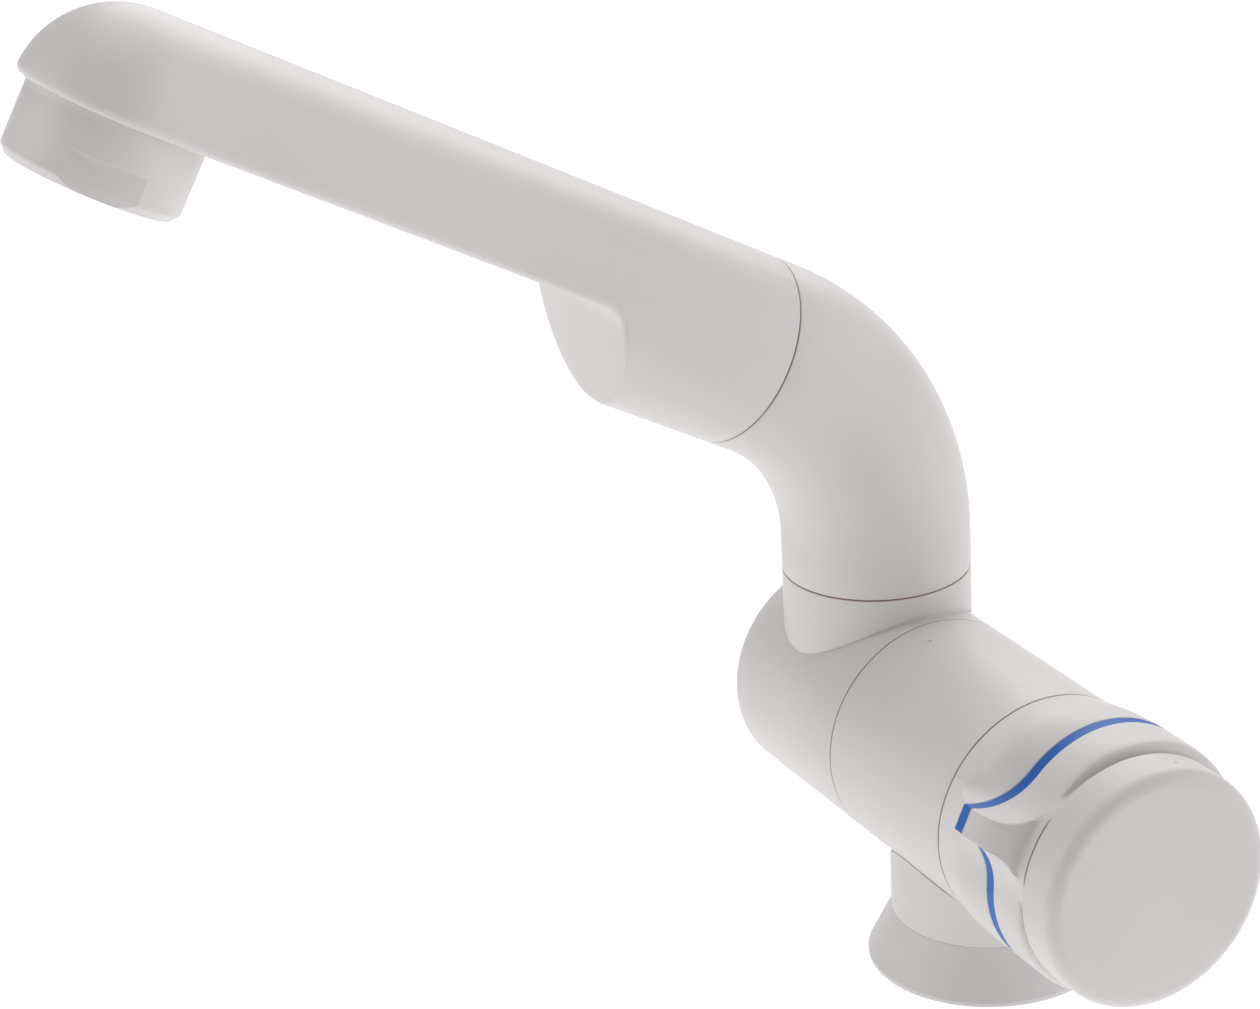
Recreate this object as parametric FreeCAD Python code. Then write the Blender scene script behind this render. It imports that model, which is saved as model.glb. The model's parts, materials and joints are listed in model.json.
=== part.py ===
import FreeCAD, Part
import math
import os

# Folding cold water tap for a worktop, in millimetres.
# +Z is up, the spout points towards -Y and the knob is on +X.
# The origin is on the stem's axis, in the plane where the flange meets the worktop.

# Main sizes, read from the photograph against the 16 mm tube radius
tube_radius = 16.0            # stem, stub, elbow and round root of the spout
body_radius = 20.0            # horizontal body
body_axis_z = 33.5            # height of the body's axis
stem_to_fold_seam = 0.45      # from the stem's side to the seam of the folding housing
stem_to_knob_seam = 1.6       # from the stem's side to the knob's seam
seam_to_stub = 1.55           # from the folding housing's seam to the side of the upright stub
stub_to_rear_end = 0.2        # from the stub's side to the closed end of the folding housing
elbow_seam_z = 58.0           # seam between the stub and the elbow
elbow_lead_in = 6.0           # straight stretch below the bend
elbow_bend_radius = 41.0      # centreline radius of the bend
elbow_bend_angle = 60.0       # from upright to the spout's direction
elbow_lead_out = 5.0          # straight stretch above the bend
outlet_reach = 115.3          # from the spout's seam to the outlet's axis, along the spout

# Where the seams and the stub lie along the body
fold_seam_x = -(tube_radius + stem_to_fold_seam)
knob_seam_x = tube_radius + stem_to_knob_seam
stub_x = fold_seam_x - seam_to_stub - tube_radius
rear_end_x = stub_x - tube_radius - stub_to_rear_end

# Clearances
seam_gap = 0.3                # visible gap between housings that turn on each other
running_fit = 0.05            # radial, between a shaft and the bore that it turns in
push_fit = 0.02               # radial, between pieces of one body
face_gap = 0.02               # between the two ceramic discs

# Edges
seam_edge = 0.35              # small round on the fixed housing where others meet it
rear_edge = 2.0               # rounded closed end
tube_blend = 1.2              # blend where a tube leaves the horizontal body

# Flange, shank and what clamps the tap to the worktop
flange_radius = body_radius   # the flange's foot is as wide as the body
flange_height = 8.8
flange_rim = 0.8              # upright part of the flange's rim
flange_floor = 3.5            # height of the floor under the stem's spigot
stem_spigot_wall = 1.0        # how much narrower than the stem its spigot is
stem_spigot_radius = tube_radius - stem_spigot_wall
gasket_thickness = 1.5
gasket_margin = 2.0
gasket_radius = flange_radius - gasket_margin
shank_radius = 12.0
shank_depth = 48.0            # below the worktop's surface
shank_grip = 11.0             # screwed length inside the stem
shank_bore = 5.5
worktop_thickness = 20.0
washer_thickness = 2.0
washer_radius = 17.0
nut_height = 10.0
nut_collar = 2.0
nut_across_flats = 32.0

# Inlet tail at the bottom of the shank
tail_plug_radius = 8.0
tail_plug_length = 12.0
tail_collar_flats = 19.0
tail_collar_height = 3.0
tail_radius = 6.0
tail_length = 24.0
tail_bore = 4.0
tail_chamfer = 1.0

# Ceramic headwork on the knob's side of the fixed housing
valve_bore = 11.0
headwork_depth = 24.6         # from the knob's seam to the valve seat
valve_seat_x = knob_seam_x - headwork_depth
gland_bore = 13.0
gland_depth = 8.5
gland_slot_depth = 2.0
gland_slot_width = 3.0
cartridge_flange = 2.0
cartridge_flange_radius = 12.0
outlet_bore = 4.5
cartridge_waist = 9.0
cartridge_chamber = 7.5
cartridge_setback = 8.6       # from the knob's seam to the front of the headwork's body
cartridge_front_x = knob_seam_x - cartridge_setback
window_radius = 2.6
window_offset = 8.6           # from the valve seat to the middle of the windows
window_x = valve_seat_x + window_offset
window_channel = 7.2         # length of the annular channel round the windows
disc_radius = 7.3
disc_thickness = 2.4
disc_port = 2.1
disc_port_offset = 3.7
seal_height = 0.8
seal_inner = 5.0
spindle_radius = 5.0
guide_length = 5.0            # of the spindle's bore behind the headwork's front
spindle_guide_x = cartridge_front_x - guide_length
spindle_drive = 3.9
spindle_flat = 2.9
spindle_tongue = 2.6
spindle_collar = 1.6
tongue_reach = 4.4
clip_thickness = 0.9
clip_reach = 0.5              # from the knob's seam to the clip
clip_x = knob_seam_x + clip_reach
clip_room = 1.4
clip_groove_depth = 1.2
clip_overhang = 2.0
spindle_tail = 1.2
spindle_ring_setback = 1.5
spindle_end_room = 1.0
spindle_flange = 1.5

# O-rings, all of one cross section
ring_section = 0.7
ring_groove = 1.6

# Hollow bolt that the folding housing turns on
bolt_radius = 8.0
bolt_wall = 2.0               # between the bolt's end and the valve seat
bolt_root_x = valve_seat_x - bolt_wall
bolt_thread_radius = 7.0
bolt_head_radius = 10.4
bolt_head_thickness = 2.6
pocket_depth = 8.2            # from the closed end to the shoulder under the bolt's head
bolt_shoulder_x = rear_end_x + pocket_depth
bolt_port_width = 6.0
bolt_port_depth = 1.5
bolt_port_radius = 2.4
bolt_port_turns = (0, 60, 120)
bolt_ring_offset = 2.8        # from the port channel's edge to an O-ring's middle
bolt_slot_depth = 1.4
bolt_slot_width = 2.0
thrust_washer = 0.8
thrust_washer_radius = 11.2
rear_pocket = 12.0
rear_cap_rim = 14.6
rear_cap_thickness = 2.4
rear_cap_skirt = 2.4
rear_cap_wall = 1.4

# Swivel spigots at both ends of the elbow
spigot_radius = 10.0
spigot_seat_radius = 11.0
spigot_seat_length = 8.0
spigot_length = 10.5
spigot_ring_depths = (-2.4, -8.6)
spigot_bore = 6.0
socket_clearance = 0.3
lock_depth = -5.5
lock_height = 1.4
lock_inner = 9.2
lock_outer = 11.3
lock_play = 0.1
lock_gap_angle = 28.0

# Spout: a round root that becomes a half-round bar with a domed end
facet_top = 32.5              # where the slanting face starts, at the flat underside
facet_bottom = 21.3           # where it ends, at the bottom of the round root
facet_edge = 1.4              # rounded rim of the slanting face
underside_edge = 1.3          # rounded lower edges of the half-round bar
water_bore = 5.0
water_bore_height = 7.5
head_chamber_top = 10.0

# Outlet cup, its insert and washer
cup_margin = 2.0              # the cup is this much narrower than the spout's half width
cup_radius = tube_radius - cup_margin
cup_height = 11.6
cup_edge = 1.8
cup_thread_radius = 11.0
cup_thread_length = 5.5
cup_mouth_radius = 10.5
cup_mouth_depth = 3.0
cup_flat_depth = 1.4
cup_flat_distance = cup_radius - cup_flat_depth
cup_flat_height = 5.6
insert_thickness = 4.0
insert_hole = 0.85
insert_pitch = 2.9
insert_rings = 3
cup_bore = 7.0
outlet_washer = 1.5

# Knob: lobed outline with one pointed wing
wing_angle = 25.5             # above the spout's direction, seen along the body's axis
wing_reach = 6.4              # from the body's surface to the wing's tip
wing_tip = body_radius + wing_reach
wing_tip_half = 2.24
scoop_radius = 11.6
scoop_ahead = 0.9             # the scoop's centre lies this far beyond the wing's tip
cheek_inset = 1.5
cheek_radius = body_radius - cheek_inset
knob_swell = 1.5
knob_radius = body_radius + knob_swell
ring_reach = 12.6             # from the knob's seam to the blue ring
ring_plane_x = knob_seam_x + ring_reach
ring_thickness = 1.0
ring_recess = 0.12
seam_tip_share = 0.975        # the wing's flat face at the seam, as a share of the scoop's middle angle
crease_reach = 5.2            # from the knob's seam to the faint crease where the scoops start
crease_x = knob_seam_x + crease_reach
crease_tip_share = 0.697
crease_swell = (0.9, 0.6, 1.0, 1.25)   # beyond the body: scoop, scoop's end, cheek, back
knob_length = 24.0
knob_front_x = knob_seam_x + knob_length
nose_radius = 6.5             # rounded front of the wing
nose_foot = body_radius
nose_sector = 25.0            # the wing's rounded front covers this angle on both sides
neck_length = 0.9
shoulder_round = 2.4
cap_gap = 0.3
cap_radius = body_radius
cap_length = 8.3
cap_edge = 2.3
cap_back_edge = 0.4
hub_radius = 8.5
hub_length = 18.9
hub_front_x = knob_seam_x + hub_length
hub_pocket_radius = 7.6
screw_radius = 2.0
screw_length = 9.0
screw_head_radius = 5.0
screw_head_height = 2.4
screw_slot = 1.2
cap_spigot_radius = 15.0
cap_spigot_length = 3.2
cap_spigot_wall = 1.6

FOLD_SIDE = fold_seam_x - seam_gap/2
FIXED_REAR = fold_seam_x + seam_gap/2
FIXED_FRONT = knob_seam_x - seam_gap/2
KNOB_REAR = knob_seam_x + seam_gap/2
X_AXIS = FreeCAD.Vector(1, 0, 0)
Z_AXIS = FreeCAD.Vector(0, 0, 1)
BODY_CENTRE = FreeCAD.Vector(0, 0, body_axis_z)


def vec(x, y, z):
    return FreeCAD.Vector(x, y, z)


def rod_x(radius, x_from, x_to):
    """Cylinder on the body's axis."""
    return Part.makeCylinder(radius, x_to - x_from, vec(x_from, 0, body_axis_z), X_AXIS)


def rod_z(radius, z_from, z_to, x=0.0, y=0.0):
    return Part.makeCylinder(radius, z_to - z_from, vec(x, y, z_from), Z_AXIS)


def o_ring(outer_radius, centre, axis):
    """Ring whose outside lies at the given radius."""
    return Part.makeTorus(outer_radius - ring_section, ring_section, centre, axis)


def groove_x(outer_radius, x_mid):
    """Groove for an O-ring, cut into a shaft on the body's axis."""
    floor = outer_radius - 2*ring_section
    x_from = x_mid - ring_groove/2
    x_to = x_mid + ring_groove/2
    return rod_x(2*outer_radius, x_from, x_to).cut(rod_x(floor, x_from, x_to))


def groove_z(outer_radius, z_mid):
    floor = outer_radius - 2*ring_section
    z_from = z_mid - ring_groove/2
    z_to = z_mid + ring_groove/2
    return rod_z(2*outer_radius, z_from, z_to).cut(rod_z(floor, z_from, z_to))


def hexagon(across_flats, z_from, z_to):
    corner = across_flats/math.sqrt(3)
    points = [vec(corner*math.cos(math.radians(60*k)), corner*math.sin(math.radians(60*k)), z_from)
              for k in range(7)]
    return Part.Face(Part.makePolygon(points)).extrude(vec(0, 0, z_to - z_from))


def revolved_x(profile):
    """Solid of revolution about the body's axis, from points or edges in (x, radius)."""
    face = Part.Face(Part.Wire(profile))
    return face.revolve(BODY_CENTRE, X_AXIS, 360)


def round_edges(shape, radius, wanted):
    """Fillet the edges that the test picks."""
    return shape.makeFillet(radius, [edge for edge in shape.Edges if wanted(edge)])


def crossing(edge):
    """Test for the curve where an upright tube crosses the horizontal barrel."""
    return not isinstance(edge.Curve, (Part.Circle, Part.Line))


def circle_at_x(x, radius):
    """Test for a full circle of this radius in the plane at x."""
    def wanted(edge):
        curve = edge.Curve
        if not isinstance(curve, Part.Circle):
            return False
        return abs(curve.Center.x - x) < 0.01 and abs(curve.Radius - radius) < 0.01
    return wanted


# Spout frame: local z runs along the spout, local y is its upper side, local x is the row's x

def elbow_end():
    bend = math.radians(elbow_bend_angle)
    y = -elbow_bend_radius*(1 - math.cos(bend)) - elbow_lead_out*math.sin(bend)
    z = (elbow_seam_z + elbow_lead_in + elbow_bend_radius*math.sin(bend)
         + elbow_lead_out*math.cos(bend))
    return vec(stub_x, y, z)


SPOUT_SEAM = elbow_end()


def in_spout(shape, extra_turn=0.0):
    """Move a shape from the spout's own frame into the tap's frame."""
    placed = shape.copy()
    placed.rotate(vec(0, 0, 0), X_AXIS, elbow_bend_angle + extra_turn)
    placed.translate(SPOUT_SEAM)
    return placed


def at_stub(shape):
    placed = shape.copy()
    placed.translate(vec(stub_x, 0, elbow_seam_z))
    return placed


def upper_joint(shape):
    """Swivel parts are drawn with the elbow on +z, so they turn over at the elbow's upper end."""
    return in_spout(shape, 180.0)


# Fixed housing and what clamps it to the worktop

def valve_housing():
    barrel = rod_x(body_radius, FIXED_REAR, FIXED_FRONT)
    barrel = round_edges(barrel, seam_edge, circle_at_x(FIXED_REAR, body_radius))
    barrel = round_edges(barrel, seam_edge, circle_at_x(FIXED_FRONT, body_radius))
    stem = rod_z(tube_radius, flange_height, body_axis_z)
    shell = round_edges(barrel.fuse(stem).removeSplitter(), tube_blend, crossing)
    shell = shell.fuse(rod_z(stem_spigot_radius, flange_floor, flange_height)).removeSplitter()
    shell = shell.cut(rod_x(valve_bore, valve_seat_x, FIXED_FRONT))
    shell = shell.cut(rod_x(gland_bore, FIXED_FRONT - gland_depth, FIXED_FRONT))
    shell = shell.cut(rod_x(outlet_bore, bolt_root_x, valve_seat_x))
    shell = shell.cut(rod_x(bolt_thread_radius + push_fit, FIXED_REAR, bolt_root_x))
    shell = shell.cut(rod_z(shank_radius + push_fit, flange_floor, shank_grip))
    return shell.cut(rod_z(shank_bore, shank_grip, body_axis_z - cartridge_waist))


def deck_flange():
    top_inner = stem_spigot_radius + push_fit
    hole = shank_radius + push_fit
    points = [(hole, gasket_thickness), (gasket_radius, gasket_thickness), (gasket_radius, 0),
              (flange_radius, 0), (flange_radius, flange_rim), (tube_radius, flange_height),
              (top_inner, flange_height), (top_inner, flange_floor), (hole, flange_floor)]
    corners = [vec(r, 0, z) for r, z in points]
    face = Part.Face(Part.makePolygon(corners + corners[:1]))
    return face.revolve(vec(0, 0, 0), Z_AXIS, 360)


def deck_gasket():
    return rod_z(gasket_radius - push_fit, 0, gasket_thickness).cut(
        rod_z(shank_radius + push_fit, 0, gasket_thickness))


def threaded_shank():
    shank = rod_z(shank_radius, -shank_depth, shank_grip)
    shank = shank.cut(rod_z(shank_bore, -shank_depth, shank_grip))
    shank = shank.cut(rod_z(tail_plug_radius + push_fit, -shank_depth, tail_plug_length - shank_depth))
    return shank.cut(groove_z(shank_radius, shank_grip - 2*ring_groove))


def shank_o_ring():
    return o_ring(shank_radius, vec(0, 0, shank_grip - 2*ring_groove), Z_AXIS)


def fixing_washer():
    top = -worktop_thickness
    return rod_z(washer_radius, top - washer_thickness, top).cut(
        rod_z(shank_radius + push_fit, top - washer_thickness, top))


def fixing_nut():
    top = -worktop_thickness - washer_thickness
    nut = hexagon(nut_across_flats, top - nut_height, top - nut_collar)
    nut = nut.fuse(rod_z(washer_radius, top - nut_collar, top)).removeSplitter()
    return nut.cut(rod_z(shank_radius + push_fit, top - nut_height, top))


def inlet_tail():
    plug_top = tail_plug_length - shank_depth
    collar_bottom = -shank_depth - tail_collar_height
    end = collar_bottom - tail_length
    tail = rod_z(tail_plug_radius, -shank_depth, plug_top)
    tail = tail.fuse(hexagon(tail_collar_flats, collar_bottom, -shank_depth))
    tail = tail.fuse(rod_z(tail_radius, end + tail_chamfer, collar_bottom))
    tail = tail.fuse(Part.makeCone(tail_radius - tail_chamfer, tail_radius, tail_chamfer, vec(0, 0, end)))
    tail = tail.cut(rod_z(tail_bore, end, plug_top))
    return tail.cut(groove_z(tail_plug_radius, plug_top - 2*ring_groove))


def tail_o_ring():
    return o_ring(tail_plug_radius, vec(0, 0, tail_plug_length - shank_depth - 2*ring_groove), Z_AXIS)


# Ceramic headwork

SEAL_FRONT = valve_seat_x + seal_height
DISC_JOINT = SEAL_FRONT + disc_thickness
DISC_FRONT = DISC_JOINT + face_gap + disc_thickness
CARTRIDGE_END = cartridge_front_x + cartridge_flange
SPINDLE_RING_X = cartridge_front_x - spindle_ring_setback
SPINDLE_END = hub_front_x - spindle_end_room


def seat_seal():
    return rod_x(disc_radius, valve_seat_x, SEAL_FRONT).cut(rod_x(seal_inner, valve_seat_x, SEAL_FRONT))


def ceramic_disc(x_from, port_turn):
    """Disc with two round ports on one diameter."""
    disc = rod_x(disc_radius, x_from, x_from + disc_thickness)
    for side in (0, 180):
        angle = math.radians(port_turn + side)
        centre = vec(x_from, disc_port_offset*math.cos(angle),
                     body_axis_z + disc_port_offset*math.sin(angle))
        disc = disc.cut(Part.makeCylinder(disc_port, disc_thickness, centre, X_AXIS))
    return disc


def fixed_disc():
    return ceramic_disc(SEAL_FRONT, 0)


def moving_disc():
    disc = ceramic_disc(DISC_JOINT + face_gap, 90)
    slot = Part.makeBox(disc_thickness/2, 2*disc_radius, spindle_tongue + 2*push_fit,
                        vec(DISC_FRONT - disc_thickness/2, -disc_radius,
                            body_axis_z - spindle_tongue/2 - push_fit))
    return disc.cut(slot)


def cartridge_body():
    shell = rod_x(valve_bore - push_fit, valve_seat_x + push_fit, cartridge_front_x)
    flange = rod_x(cartridge_flange_radius, cartridge_front_x, CARTRIDGE_END)
    shell = shell.fuse(flange).removeSplitter()
    channel_from = window_x - window_channel/2
    channel_to = window_x + window_channel/2
    channel = rod_x(2*valve_bore, channel_from, channel_to)
    shell = shell.cut(channel.cut(rod_x(cartridge_waist, channel_from, channel_to)))
    shell = shell.cut(rod_x(cartridge_chamber, valve_seat_x, spindle_guide_x))
    shell = shell.cut(rod_x(spindle_radius + running_fit, spindle_guide_x, CARTRIDGE_END))
    for turn in (0, 90):
        foot = vec(window_x, 0, body_axis_z - valve_bore)
        window = Part.makeCylinder(window_radius, 2*valve_bore, foot)
        window.rotate(BODY_CENTRE, X_AXIS, turn)
        shell = shell.cut(window)
    return shell


def cartridge_nut():
    """Gland nut that holds the headwork in the housing, with two spanner slots."""
    nut = rod_x(gland_bore - push_fit, CARTRIDGE_END, FIXED_FRONT).cut(
        rod_x(spindle_radius + running_fit, CARTRIDGE_END, FIXED_FRONT))
    slot = Part.makeBox(gland_slot_depth, 2*gland_bore, gland_slot_width,
                        vec(FIXED_FRONT - gland_slot_depth, -gland_bore,
                            body_axis_z - gland_slot_width/2))
    return nut.cut(slot)


def spindle():
    flange_x = spindle_guide_x - spindle_flange
    shaft = rod_x(spindle_radius, flange_x, clip_x + clip_thickness + spindle_tail)
    shaft = shaft.fuse(rod_x(spindle_radius + spindle_collar, flange_x, spindle_guide_x - face_gap))
    drive = rod_x(spindle_drive, clip_x, SPINDLE_END)
    flat = Part.makeBox(hub_front_x - clip_x, 2*spindle_drive, spindle_drive,
                        vec(clip_x, -spindle_drive, body_axis_z + spindle_flat))
    shaft = shaft.fuse(drive.cut(flat))
    slot_floor = DISC_FRONT - disc_thickness/2 + push_fit
    tongue = Part.makeBox(flange_x - slot_floor, 2*tongue_reach, spindle_tongue,
                          vec(slot_floor, -tongue_reach, body_axis_z - spindle_tongue/2))
    shaft = shaft.fuse(tongue)
    shaft = shaft.cut(groove_x(spindle_radius, SPINDLE_RING_X))
    shaft = shaft.cut(clip_groove())
    shaft = shaft.cut(rod_x(screw_radius, hub_front_x - screw_length - spindle_end_room, hub_front_x))
    return shaft.removeSplitter()


def clip_groove():
    x_from = clip_x - push_fit
    x_to = clip_x + clip_thickness + push_fit
    floor = spindle_radius - clip_groove_depth
    return rod_x(2*spindle_radius, x_from, x_to).cut(rod_x(floor, x_from, x_to))


def spindle_clip():
    """Open ring that keeps the spindle from being drawn into the headwork."""
    clip = rod_x(spindle_radius + clip_overhang, clip_x, clip_x + clip_thickness).cut(
        rod_x(spindle_radius - clip_groove_depth + push_fit, clip_x, clip_x + clip_thickness))
    mouth = Part.makeBox(clip_thickness, spindle_radius + 3, spindle_radius,
                         vec(clip_x, 0, body_axis_z - spindle_radius/2))
    return clip.cut(mouth)


def spindle_o_ring():
    return o_ring(spindle_radius, vec(SPINDLE_RING_X, 0, body_axis_z), X_AXIS)


# Folding housing and the hollow bolt that it turns on

def beyond_closed_end():
    """Everything outside the closed end and its round, as one turned piece."""
    top = body_axis_z + body_radius
    round_x = rear_end_x + rear_edge
    outside_x = rear_end_x - 2*rear_edge
    outside_z = top + body_radius
    share = math.sqrt(0.5)
    foot = vec(rear_end_x, 0, top - rear_edge)
    middle = vec(round_x - share*rear_edge, 0, top - (1 - share)*rear_edge)
    crown = vec(round_x, 0, top)
    corners = [crown, vec(round_x, 0, outside_z), vec(outside_x, 0, outside_z),
               vec(outside_x, 0, body_axis_z), vec(rear_end_x, 0, body_axis_z), foot]
    sides = [Part.LineSegment(here, there).toShape() for here, there in zip(corners, corners[1:])]
    return revolved_x([Part.Arc(foot, middle, crown).toShape()] + sides)


def fold_housing():
    """The barrel is made too long, so that the blend runs all round the stub before the end is cut."""
    stub = rod_z(tube_radius, body_axis_z, elbow_seam_z - seam_gap/2, stub_x)
    shell = rod_x(body_radius, rear_end_x - rear_edge, FOLD_SIDE).fuse(stub).removeSplitter()
    shell = round_edges(shell, tube_blend, crossing)
    shell = shell.cut(beyond_closed_end().cut(stub))
    shell = shell.cut(rod_x(bolt_radius + running_fit, bolt_shoulder_x, FOLD_SIDE))
    shell = shell.cut(rod_x(rear_pocket, rear_end_x, bolt_shoulder_x))
    shell = shell.cut(rod_x(rear_cap_rim + push_fit, rear_end_x, rear_end_x + rear_cap_thickness))
    shell = shell.cut(rod_z(bolt_port_width/2, body_axis_z, elbow_seam_z - spigot_length, stub_x))
    return shell.cut(at_stub(socket()))


BOLT_PORT_X = stub_x
RING_REACH = bolt_port_width/2 + bolt_ring_offset
FOLD_RING_X = (stub_x + RING_REACH, stub_x - RING_REACH)


def fold_bolt():
    """Hollow bolt: water comes in at its threaded end and leaves through the ports at the stub."""
    head_x = bolt_shoulder_x - thrust_washer
    bolt = rod_x(bolt_radius, head_x, FIXED_REAR)
    bolt = bolt.fuse(rod_x(bolt_thread_radius, FIXED_REAR, bolt_root_x))
    bolt = bolt.fuse(rod_x(bolt_head_radius, head_x - bolt_head_thickness, head_x)).removeSplitter()
    port_from = BOLT_PORT_X - bolt_port_width/2
    port_to = BOLT_PORT_X + bolt_port_width/2
    bolt = bolt.cut(rod_x(outlet_bore, port_from, bolt_root_x))
    bolt = bolt.cut(rod_x(2*bolt_radius, port_from, port_to).cut(
        rod_x(bolt_radius - bolt_port_depth, port_from, port_to)))
    for turn in bolt_port_turns:
        foot = vec(BOLT_PORT_X, 0, body_axis_z - bolt_radius)
        port = Part.makeCylinder(bolt_port_radius, 2*bolt_radius, foot)
        port.rotate(BODY_CENTRE, X_AXIS, turn)
        bolt = bolt.cut(port)
    for x in FOLD_RING_X:
        bolt = bolt.cut(groove_x(bolt_radius, x))
    slot = Part.makeBox(bolt_slot_depth, 2*bolt_head_radius, bolt_slot_width,
                        vec(head_x - bolt_head_thickness, -bolt_head_radius,
                            body_axis_z - bolt_slot_width/2))
    return bolt.cut(slot)


def fold_o_rings():
    return Part.makeCompound([o_ring(bolt_radius, vec(x, 0, body_axis_z), X_AXIS) for x in FOLD_RING_X])


def fold_thrust_washer():
    x_from = bolt_shoulder_x - thrust_washer
    return rod_x(thrust_washer_radius, x_from, bolt_shoulder_x).cut(
        rod_x(bolt_radius + running_fit, x_from, bolt_shoulder_x))


def rear_cap():
    """Push-in cap that closes the pocket behind the bolt's head."""
    rim_to = rear_end_x + rear_cap_thickness
    skirt_radius = rear_pocket - push_fit
    cap = rod_x(rear_cap_rim, rear_end_x, rim_to)
    skirt = rod_x(skirt_radius, rim_to, rim_to + rear_cap_skirt).cut(
        rod_x(skirt_radius - rear_cap_wall, rim_to, rim_to + rear_cap_skirt))
    return cap.fuse(skirt).removeSplitter()


# Swivel joint, drawn once in its own frame: seam at z = 0, elbow on +z, socket on -z

def swivel_spigot():
    spigot = rod_z(spigot_radius, -spigot_length, seam_gap/2)
    spigot = spigot.fuse(rod_z(spigot_seat_radius, seam_gap/2, spigot_seat_length)).removeSplitter()
    spigot = spigot.cut(rod_z(spigot_bore, -spigot_length, spigot_seat_length))
    for z in spigot_ring_depths:
        spigot = spigot.cut(groove_z(spigot_radius, z))
    half = lock_height/2 + lock_play
    lock = rod_z(2*spigot_radius, lock_depth - half, lock_depth + half).cut(
        rod_z(lock_inner - socket_clearance, lock_depth - half, lock_depth + half))
    return spigot.cut(lock)


def socket():
    """Space cut into the stub and into the spout's root for the spigot and its lock ring."""
    space = rod_z(spigot_radius + running_fit, -spigot_length - socket_clearance, 0)
    half = lock_height/2 + push_fit
    return space.fuse(rod_z(lock_outer + push_fit, lock_depth - half, lock_depth + half))


def swivel_rings():
    return Part.makeCompound([o_ring(spigot_radius, vec(0, 0, z), Z_AXIS) for z in spigot_ring_depths])


def lock_ring():
    """Open ring that sits in the socket and runs in the spigot's groove."""
    z_from = lock_depth - lock_height/2
    ring = rod_z(lock_outer, z_from, z_from + lock_height).cut(
        rod_z(lock_inner, z_from, z_from + lock_height))
    reach = 2*lock_outer
    half = math.radians(lock_gap_angle/2)
    corners = [vec(0, 0, z_from), vec(reach*math.cos(half), -reach*math.sin(half), z_from),
               vec(reach*math.cos(half), reach*math.sin(half), z_from), vec(0, 0, z_from)]
    return ring.cut(Part.Face(Part.makePolygon(corners)).extrude(vec(0, 0, lock_height)))


# Elbow

def bent_rod(radius, bottom, top):
    """Round bar along the elbow's centreline, cut short of the seams by bottom and top."""
    start = vec(stub_x, 0, elbow_seam_z + elbow_lead_in)
    lower = rod_z(radius, elbow_seam_z + bottom, start.z, stub_x)
    disc = Part.Face(Part.Wire(Part.Circle(start, Z_AXIS, radius).toShape()))
    bend = disc.revolve(vec(stub_x, -elbow_bend_radius, start.z), X_AXIS, elbow_bend_angle)
    upper = in_spout(rod_z(radius, -elbow_lead_out, -top))
    return lower.fuse([bend, upper]).removeSplitter()


def elbow():
    shell = bent_rod(tube_radius, seam_gap/2, seam_gap/2)
    shell = shell.cut(bent_rod(spigot_bore, seam_gap/2, seam_gap/2))
    seat = rod_z(spigot_seat_radius + push_fit, 0, spigot_seat_length)
    return shell.cut(at_stub(seat)).cut(upper_joint(seat))


# Spout, drawn in its own frame

def half_section(z):
    """Right half of the bar's section: flat below, with a small round at its lower corner."""
    edge_x = math.sqrt((tube_radius - underside_edge)**2 - underside_edge**2)
    corner = math.atan2(underside_edge, edge_x)
    low = corner/2 - math.pi/4
    centre = vec(edge_x, underside_edge, z)
    middle = centre.add(vec(underside_edge*math.cos(low), underside_edge*math.sin(low), 0))
    tangent = vec(tube_radius*math.cos(corner), tube_radius*math.sin(corner), z)
    half = (corner + math.pi/2)/2
    crown = vec(tube_radius*math.cos(half), tube_radius*math.sin(half), z)
    top = vec(0, tube_radius, z)
    foot = vec(0, 0, z)
    side = vec(edge_x, 0, z)
    edges = [Part.LineSegment(foot, side).toShape(),
             Part.Arc(side, middle, tangent).toShape(),
             Part.Arc(tangent, crown, top).toShape(),
             Part.LineSegment(top, foot).toShape()]
    return Part.Face(Part.Wire(edges))


def slanting_rim(edge):
    """Test for the curve where the slanting face cuts the round root."""
    return isinstance(edge.Curve, Part.Ellipse)


def round_root():
    """Round root, cut by the slanting face that leads to the flat underside."""
    root = rod_z(tube_radius, seam_gap/2, facet_top)
    slope = (facet_top - facet_bottom)/tube_radius
    below = 2*tube_radius
    corners = [vec(-below, 0, facet_top), vec(-below, -below, facet_top - slope*below),
               vec(-below, -below, 2*facet_top), vec(-below, 0, 2*facet_top)]
    wedge = Part.Face(Part.makePolygon(corners + corners[:1])).extrude(vec(2*below, 0, 0))
    return round_edges(root.cut(wedge), facet_edge, slanting_rim)


def spout():
    right = half_section(facet_bottom).extrude(vec(0, 0, outlet_reach - facet_bottom))
    left = right.mirror(vec(0, 0, 0), X_AXIS)
    dome = half_section(outlet_reach).revolve(vec(0, 0, outlet_reach), vec(0, 1, 0), 360)
    bar = round_root().fuse([right, left, dome]).removeSplitter()
    bar = bar.cut(rod_z(water_bore, spigot_length, outlet_reach, 0, water_bore_height))
    bar = bar.cut(outlet_rod(cup_bore, 0, head_chamber_top))
    bar = bar.cut(outlet_rod(cup_thread_radius + push_fit, 0, cup_thread_length + outlet_washer))
    over = socket()
    over.rotate(vec(0, 0, 0), X_AXIS, 180)
    return in_spout(bar.cut(over))


def outlet_rod(radius, y_from, y_to):
    """Cylinder on the outlet's axis, which is square to the spout."""
    return Part.makeCylinder(radius, y_to - y_from, vec(0, y_from, outlet_reach), vec(0, 1, 0))


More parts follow.
